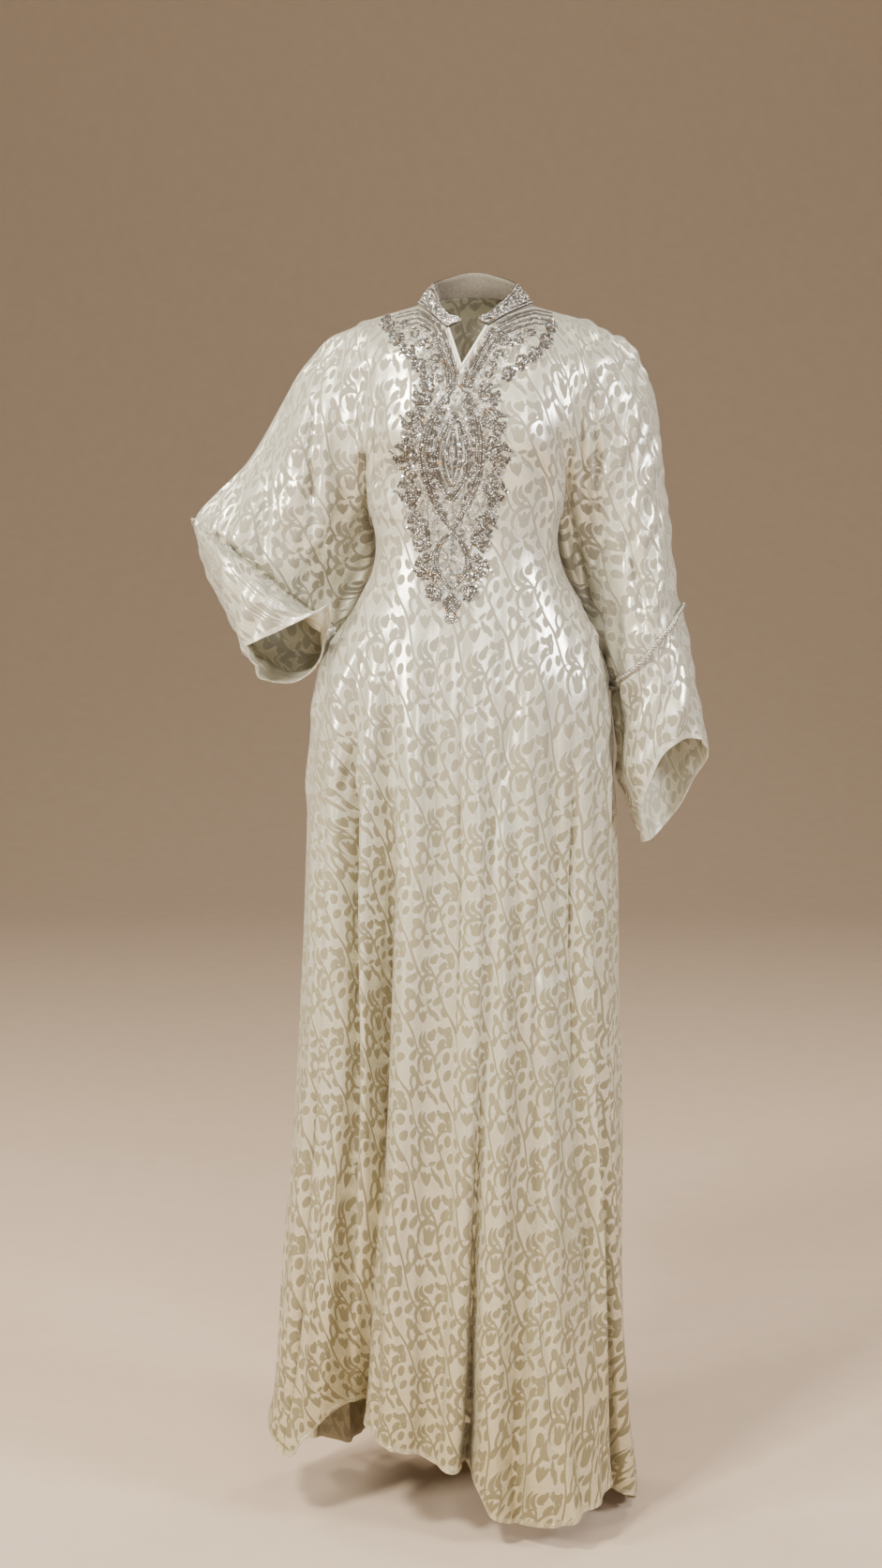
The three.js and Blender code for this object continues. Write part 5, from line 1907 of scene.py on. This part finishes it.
    def bib(self) -> None:
        """Bands, almonds, sprays and scrolls of the medallion."""
        t = np.linspace(0, 1, 60)
        for width in (38, 34.5, 30):
            self.both(width * np.sin(np.pi * t**0.9) ** 0.85, mix(-80, -251, t))
        for width, low in ((21, -216), (17.5, -211), (11, -200)):
            self.both(width * np.sin(np.pi * t**1.15) ** 0.75, mix(-112, low, t), 1.2)
        self.both(5 * np.sin(np.pi * t), mix(-132, -190, t), 1.1)
        bow = 25.5 * np.sin(np.pi * np.linspace(0.13, 0.9, 12)) ** 0.8
        for zc, dx in zip(np.linspace(-98, -236, 12), bow):
            self.mirrored(self.almond, float(dx), float(zc), 75, 2.4, 4.6)
        for width in (22, 17.5):
            self.both(width * np.sin(np.pi * t) ** 0.8, mix(-254, -322, t), 1.2)
        for width, tall in ((10, 14), (7, 10), (3.5, 5)):
            self.both(width * (1 - np.abs(2 * t - 1)), mix(-340 + tall, -340 - tall, t), 1.2)
        for dx, zc, lean, size in (
            (30, -99, 42, 27), (36, -129, 24, 30), (39, -163, 8, 35), (37, -203, -6, 31),
            (29, -240, -20, 27),
            (24, -268, 20, 25), (23, -296, -8, 24), (14, -322, -30, 19), (0, -352, -70, 9),
        ):
            self.mirrored(self.spray, dx, zc, lean, size)
        for dx, zc, radius, start in (
            (41, -114, 7.5, 20), (47, -146, 8, -30), (50, -183, 8.5, 160), (48, -222, 8, -20),
            (36, -258, 7.5, 10), (30, -283, 6, 170), (20, -309, 6, 0),
        ):
            axis = float(self.medallion.read("axis", zc))
            self.scroll(axis + dx, zc, radius, 1.4, start, 1)
            self.scroll(axis - dx, zc, radius, 1.4, 180 - start, -1)
        for zc in (
            -90, -104, -122, -140, -150, -161, -172, -184, -206, -223, -238, -262, -275, -288, -301,
            -314, -340,
        ):
            self.stone([(float(self.medallion.read("axis", zc)), zc)], 2.9)

    def yoke(self) -> None:
        """Rows along the notch and the neckline, the shoulder sprays and the flowers of the edge."""
        for out in (4.5, 8.5, 14.0, 18.0):
            right_top = (NOTCH_RIGHT - out, -15 - out * 0.3)
            left_top = (NOTCH_LEFT + out, -12 - out * 0.3)
            self.row([right_top, (-30 - out, -30), (-18 - out * 0.9, -66), (-21 - out * 0.7, -84)])
            self.row([left_top, (8 + out, -26), (-16 + out * 0.9, -66), (-20 + out * 0.7, -84)])
        for drop in (4.0, 8.0, 14.0, 20.0):
            for x, at_x, at_z in (
                (
                    np.linspace(-96, -42 + drop * 0.1, 24),
                    (-96, -70, -60, -49, -34), (7, 13, 8, -1, -13),
                ),
                (np.linspace(24, 92, 26), (14, 33, 52, 70, 92), (-11, 0, 8, 13, 9)),
            ):
                self.row(np.stack([x, np.interp(x, at_x, at_z) - drop], -1))
        for x, z, lean, size in (
            (-98, -6, 190, 17), (-88, -20, 215, 18), (-76, -34, 228, 17), (-64, -50, 222, 17),
            (-52, -68, 212, 16), (82, -10, -8, 15), (76, -24, -32, 17), (64, -38, -45, 17),
            (48, -48, -48, 17), (32, -62, -38, 16),
        ):
            self.spray(x, z, lean, size)
        for x, z, radius, start, hand in (
            (-56, -32, 7, 90, 1), (-48, -50, 6.5, 200, -1), (-42, -72, 6, 120, 1),
            (32, -28, 7, 90, -1), (25, -45, 6.5, -20, 1), (14, -66, 6, 60, -1),
            (-74, -20, 6.5, 100, -1), (52, -26, 6.5, 80, 1),
        ):
            self.scroll(x, z, radius, 1.3, start, hand)
        for x, z, radius in (
            (-64, -30, 5), (-86, -8, 5), (42, -30, 5), (66, -18, 5), (-50, -60, 4.5), (20, -56, 4.5),
        ):
            self.flower(x, z, radius)

    def inside(self, x: Array, z: Array) -> Array:
        """Whether flat points lie on the beaded ground, whose edge runs in scallops 34 mm long.

        Args:
            x: x of each point.
            z: Its height.
        Returns:
            True where a point lies on the ground.
        """
        axis, half = self.medallion.read("axis", z), self.medallion.read("half", z)
        scallop = 0.8 + 0.12 * np.cos((z + 99) * 2 * np.pi / 34)
        bib = (np.abs(x - axis) < half * scallop) & (z < -78) & (z > -352)
        left = np.interp(z, (-84, -60, -36, -16, -4), (-52, -60, -80, -98, -104))
        right = np.interp(z, (-84, -58, -36, -20, -4), (16, 30, 54, 78, 86))
        notch_left = np.interp(z, (-62, -14, 20), (-18, -35, -60))
        notch_right = np.interp(z, (-62, -11, 20), (-18, 14, 60))
        sides = ((x > left) & (x < notch_left - 3)) | ((x < right) & (x > notch_right + 3))
        return bib | ((z >= -84) & (z < 4) & sides)

    def fill(self, step: float = 2.3, kept: float = 0.92) -> None:
        """Seed beads sewn over the free ground: a shaken grid, thinned beside the laid rows.

        Args:
            step: Distance of the grid's points.
            kept: Share of them that is kept.
        """
        x, z = np.meshgrid(np.arange(*self.ground_x, step), np.arange(*self.ground_z, step))
        spot = np.stack([x.ravel(), z.ravel()], -1) + self.rng.uniform(-0.7, 0.7, (x.size, 2))
        spot = spot[self.inside(spot[:, 0], spot[:, 1])]
        laid = np.concatenate(self.taken)
        nearest = np.array([np.min(np.hypot(*(laid - s).T)) for s in spot])
        spot = spot[(nearest > self.clear) & (self.rng.uniform(0, 1, len(spot)) < kept)]
        points, normals = self.project(spot)
        sizes = self.rng.uniform(0.75, 1.2, len(points))
        self.beads.copies(bead_shape(), points + normals * 1.2, normals, sizes, 0.8)
        pick = self.rng.uniform(0, 1, len(points)) < self.stone_share
        at, out = points[pick], normals[pick]
        self.stones.copies(stone_shape(), at + out * self.stone_lift, out, np.full(len(at), 2.0), 0.6)

    def band(self) -> None:
        """Rows, flowers and a fill along the collar."""
        length = self.collar.length
        count = int(length / self.pitch)
        along = np.linspace(0.012, 0.988, count)
        for up in (0.1, 0.24, 0.76, 0.92):
            self.lay(*self.collar.place(along, np.full(count, up)), 1.3)
        wave = 0.5 + 0.17 * np.sin(along * length * 2 * np.pi / self.bloom_pitch)
        self.lay(*self.collar.place(along, wave), 1.25)
        blooms = np.arange(0.03, 0.97, self.bloom_pitch / length)
        for centre in blooms:
            t = np.linspace(0, 2 * np.pi, 14)[:-1]
            a = centre + 5.2 / length * np.cos(t)
            self.lay(*self.collar.place(a, 0.5 + 0.16 * np.sin(t)), 1.1, False)
        points, normals = self.collar.place(blooms, np.full(len(blooms), 0.5))
        self.stones.copies(stone_shape(), points + normals, normals, np.full(len(blooms), 2.6), 0.6)
        scatter = self.rng.uniform(0, 1, (1500, 2))
        points, normals = self.collar.place(0.01 + 0.98 * scatter[:, 0], 0.08 + 0.86 * scatter[:, 1])
        sizes = self.rng.uniform(0.8, 1.3, len(points))
        self.beads.copies(bead_shape(), points + normals * 0.8, normals, sizes, 0.8)

    def build(self) -> None:
        """Make all the beadwork."""
        self.bib()
        self.yoke()
        self.fill()
        self.band()
        # The couching's dark cord carries painted shade for the shadows round the beads.
        for name, pile, finish in (
            ("beads", self.beads, BeadSilver()),
            ("stones", self.stones, CRYSTAL),
            ("couching", self.cords, COUCHING_AND_PAINTED_SHADE),
        ):
            item = pile.build(f"embroidery_{name}", name != "stones")
            item.data.materials.append(finish.build())
            log.info("%s: %d faces", item.name, len(item.data.polygons))
        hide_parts("applique")


@dataclass
class Trims:
    """Twisted braid over each sleeve seam, the notch's piping and the crystal knot.

    `strand` and `roll` are radii, `pitch` is the length of one twist, made in `steps`, and the
    strands circle at `spread` of their radius. `lift` is the height of the braid over the cloth,
    `thread` its least size, and `inset` moves the roll into the notch.
    """

    cloth: Cloth
    strand: float = 2.0
    pitch: float = 9.0
    steps: int = 9
    spread: float = 0.75
    lift: float = 3.0
    thread: float = 0.1
    roll: float = 1.5
    inset: float = 1.6
    knot_at: tuple[float, float] = (-178.0, -381.0)
    knot_stones: int = 16
    knot_radius: float = 4.6
    knot_lift: float = 3.0

    def braid(self, side: int, node: str) -> bpy.types.Object:
        """Two strands twisted round the seam's line: each circles it once in a pitch.

        Args:
            side: 1 for the left sleeve, -1 for the right.
            node: Node that it stands for.
        Returns:
            The braid.
        """
        loop = self.cloth.loops[side]
        middle = loop.mean(0)
        closed = np.concatenate([loop, loop[:1]])
        walked = run_length(closed)
        turns = round(walked[-1] / self.pitch)
        at = np.linspace(0, walked[-1], turns * self.steps + 1)[:-1]
        path = read_line(closed, walked, at)
        nearest = np.array([np.argmin(((self.cloth.points - p) ** 2).sum(1)) for p in path])
        normals = self.cloth.normals[nearest]
        # In front, the lapped cloth covers the right braid, which shrinks to a thread inside it.
        shown = smooth((normals[:, 1] + 0.1) / 0.3) if side < 0 else np.ones(len(path))
        size = mix(self.thread, 1.0, shown)
        ripple = ((self.cloth.points[nearest] - path) * normals).sum(1)
        path = path + normals * (ripple + self.lift * shown)[:, None]
        along = unit(np.roll(path, -1, 0) - np.roll(path, 1, 0))
        aside = np.cross(along, normals)
        pile = Pile()
        for phase in (0.0, np.pi):
            turn = 2 * np.pi * turns * at / walked[-1] + phase
            spin = normals * np.cos(turn)[:, None] + aside * np.sin(turn)[:, None]
            strand = path + spin * (self.spread * self.strand * size)[:, None]
            pile.add(*tube(strand, normals + 0.01 * (path - middle), self.strand * size, 6, True))
        item = pile.build(node + "_cord")
        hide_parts(node)
        log.info("%s: %.0f mm round", item.name, walked[-1])
        return item

    def knot(self, finish: bpy.types.Material) -> None:
        """Crystal knot on the cloth behind a flat point: cut stones turned outwards from a ball.

        Args:
            finish: Its material.
        """
        x, z = self.knot_at
        cloth = BVHTree.FromPolygons(self.cloth.points.tolist(), self.cloth.quads.tolist())
        hit, _, _, _ = cloth.ray_cast(Vector((x, RAY_Y, z)), Vector((0, 1, 0)), 700.0)
        rng = np.random.default_rng(5)
        out = unit(rng.normal(size=(self.knot_stones, 3)) + np.array([0.0, -0.7, 0.0]))
        ball = np.array(hit) + np.array([0.0, -self.knot_lift, 0.0]) + out * self.knot_radius
        pile = Pile()
        pile.copies(stone_shape(), ball, out, rng.uniform(2.4, 3.4, self.knot_stones), 0.7)
        item = pile.build("crystal_knot", False)
        item.data.materials.append(finish)
        log.info("%s at y %.0f mm", item.name, hit.y)

    def piping(self, name: str, corners: tuple[float, float], stop: float) -> bpy.types.Object:
        """Roll of satin along one cut edge of the notch.

        Args:
            name: Node that it stands for.
            corners: x of the edge's two ends.
            stop: Share of the edge left free at its lower end.
        Returns:
            The roll.
        """
        run = between(self.cloth.neckline[False], *corners)
        inward = unit(np.cross(unit(run[-1] - run[0]), NOTCH_FACING))
        inward *= 1 if inward[2] > 0 else -1
        short = int(len(run) * stop)
        keep = slice(short, None) if run[0, 2] < run[-1, 2] else slice(None, len(run) - short)
        path = (run + inward * self.inset)[keep]
        pile = Pile()
        pile.add(*tube(path, np.tile(NOTCH_FACING, (len(path), 1)), self.roll, 8, False))
        item = pile.build(name + "_roll")
        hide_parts(name)
        log.info("%s: %.0f mm long", item.name, run_length(path)[-1])
        return item

    def build(self) -> None:
        """Make and dress the trims."""
        # The braid's finish carries painted shade in its dark speckle.
        silver, satin = BRAID_WITH_PAINTED_SHADE.build(), PIPING.build()
        for side, node in ((1, "braid_left"), (-1, "braid_right")):
            self.braid(side, node).data.materials.append(silver)
        self.knot(CRYSTAL.build())
        for node, corners, stop in (
            ("notch_binding_right", (NOTCH_RIGHT, NOTCH_FOOT), 0.1),
            ("notch_binding_left", (NOTCH_FOOT, NOTCH_LEFT), 0.04),
        ):
            self.piping(node, corners, stop).data.materials.append(satin)


# ---- Studio ----


@dataclass
class Studio:
    """Pale floor, soft lights and the camera, in metres. Each light has a name, place, size, power
    in watts and tone, and is aimed at the middle of the kaftan."""

    floor_z: float = -1.512
    lens: float = 59.81
    sensor: float = 36.0
    camera_at: tuple[float, float, float] = (-0.0417, -3.22, -0.086)
    camera_pitch: float = 8.6
    aim: tuple[float, float, float] = (0.0, 0.0, -0.55)
    world_tone: str = "#EBD3AE"
    world_strength: float = 0.18
    lights: tuple[tuple[str, tuple[float, float, float], float, float, str], ...] = (
        ("key", (-1.3, -1.7, 1.7), 0.5, 145.0, "#FFFBEF"),
        ("front", (0.8, -3.2, 1.6), 0.9, 45.0, "#FFFCF6"),
        ("low_front", (0.5, -3.8, -0.1), 1.0, 36.0, "#FFFCF6"),
        ("left", (-2.4, -1.5, 0.1), 0.7, 105.0, "#FFFBF0"),
        ("right", (2.4, -1.4, 0.5), 0.7, 95.0, "#FCFCFF"),
        ("rim_left", (-2.0, 1.4, 1.4), 0.9, 50.0, "#FFF6E6"),
        ("rim_right", (1.9, 1.5, 1.5), 0.9, 50.0, "#FFF6E6"),
    )

    def floor(self) -> None:
        """Plain pale floor and back wall, joined by a quarter-round."""
        reach, start, radius = 9.0, 3.8, 3.4
        turn = np.linspace(0, np.pi / 2, 25)
        bend = [(start + radius * math.sin(a), radius - radius * math.cos(a)) for a in turn]
        curve = [(-reach, 0.0), *bend, (7.2, reach)]
        points = np.array([(x, y, z) for y, z in curve for x in (-reach, reach)]) / MM
        points[:, 2] += self.floor_z / MM
        faces = [(2 * k, 2 * k + 1, 2 * k + 3, 2 * k + 2) for k in range(len(curve) - 1)]
        item = link("floor", new_mesh("floor", points, faces, True))
        item.data.materials.append(PAPER.build())

    def light(
        self, name: str, at: tuple[float, float, float], size: float, power: float, tone: str
    ) -> None:
        """Square soft light aimed at the middle of the kaftan.

        Args:
            name: Name.
            at: Place.
            size: Side of the square.
            power: Watts.
            tone: Hex code of its colour.
        """
        data = bpy.data.lights.new(name, "AREA")
        data.size, data.energy, data.color = size, power, colour(tone)[:3]
        item = link(name, data)
        item.location = at
        item.rotation_euler = (Vector(self.aim) - Vector(at)).to_track_quat("-Z", "Y").to_euler()

    def build(self) -> None:
        """Make the floor, the lights, the world and the camera."""
        self.floor()
        for light in self.lights:
            self.light(*light)
        world = bpy.data.worlds.new("studio")
        bpy.context.scene.world = world
        world.use_nodes = True
        background = world.node_tree.nodes["Background"]
        background.inputs[0].default_value = colour(self.world_tone)
        background.inputs[1].default_value = self.world_strength
        data = bpy.data.cameras.new("camera")
        data.lens, data.sensor_width, data.sensor_fit = self.lens, self.sensor, "AUTO"
        data.clip_end = 50.0
        camera = link("camera", data)
        camera.location = self.camera_at
        camera.rotation_euler = (math.radians(90 - self.camera_pitch), 0, 0)
        bpy.context.scene.camera = camera


def main() -> None:
    """Build the studio, the cloth, the collar, the beadwork and the trims."""
    logging.basicConfig(level=logging.INFO, format="%(name)s: %(message)s")
    Studio().build()
    log.info("studio")
    cloth = Cloth()
    cloth.weld()
    Panels(cloth).build()
    collar = Collar(cloth)
    collar.build()
    Embroidery(cloth, collar).build()
    Trims(cloth).build()


if __name__ == "__main__":
    main()
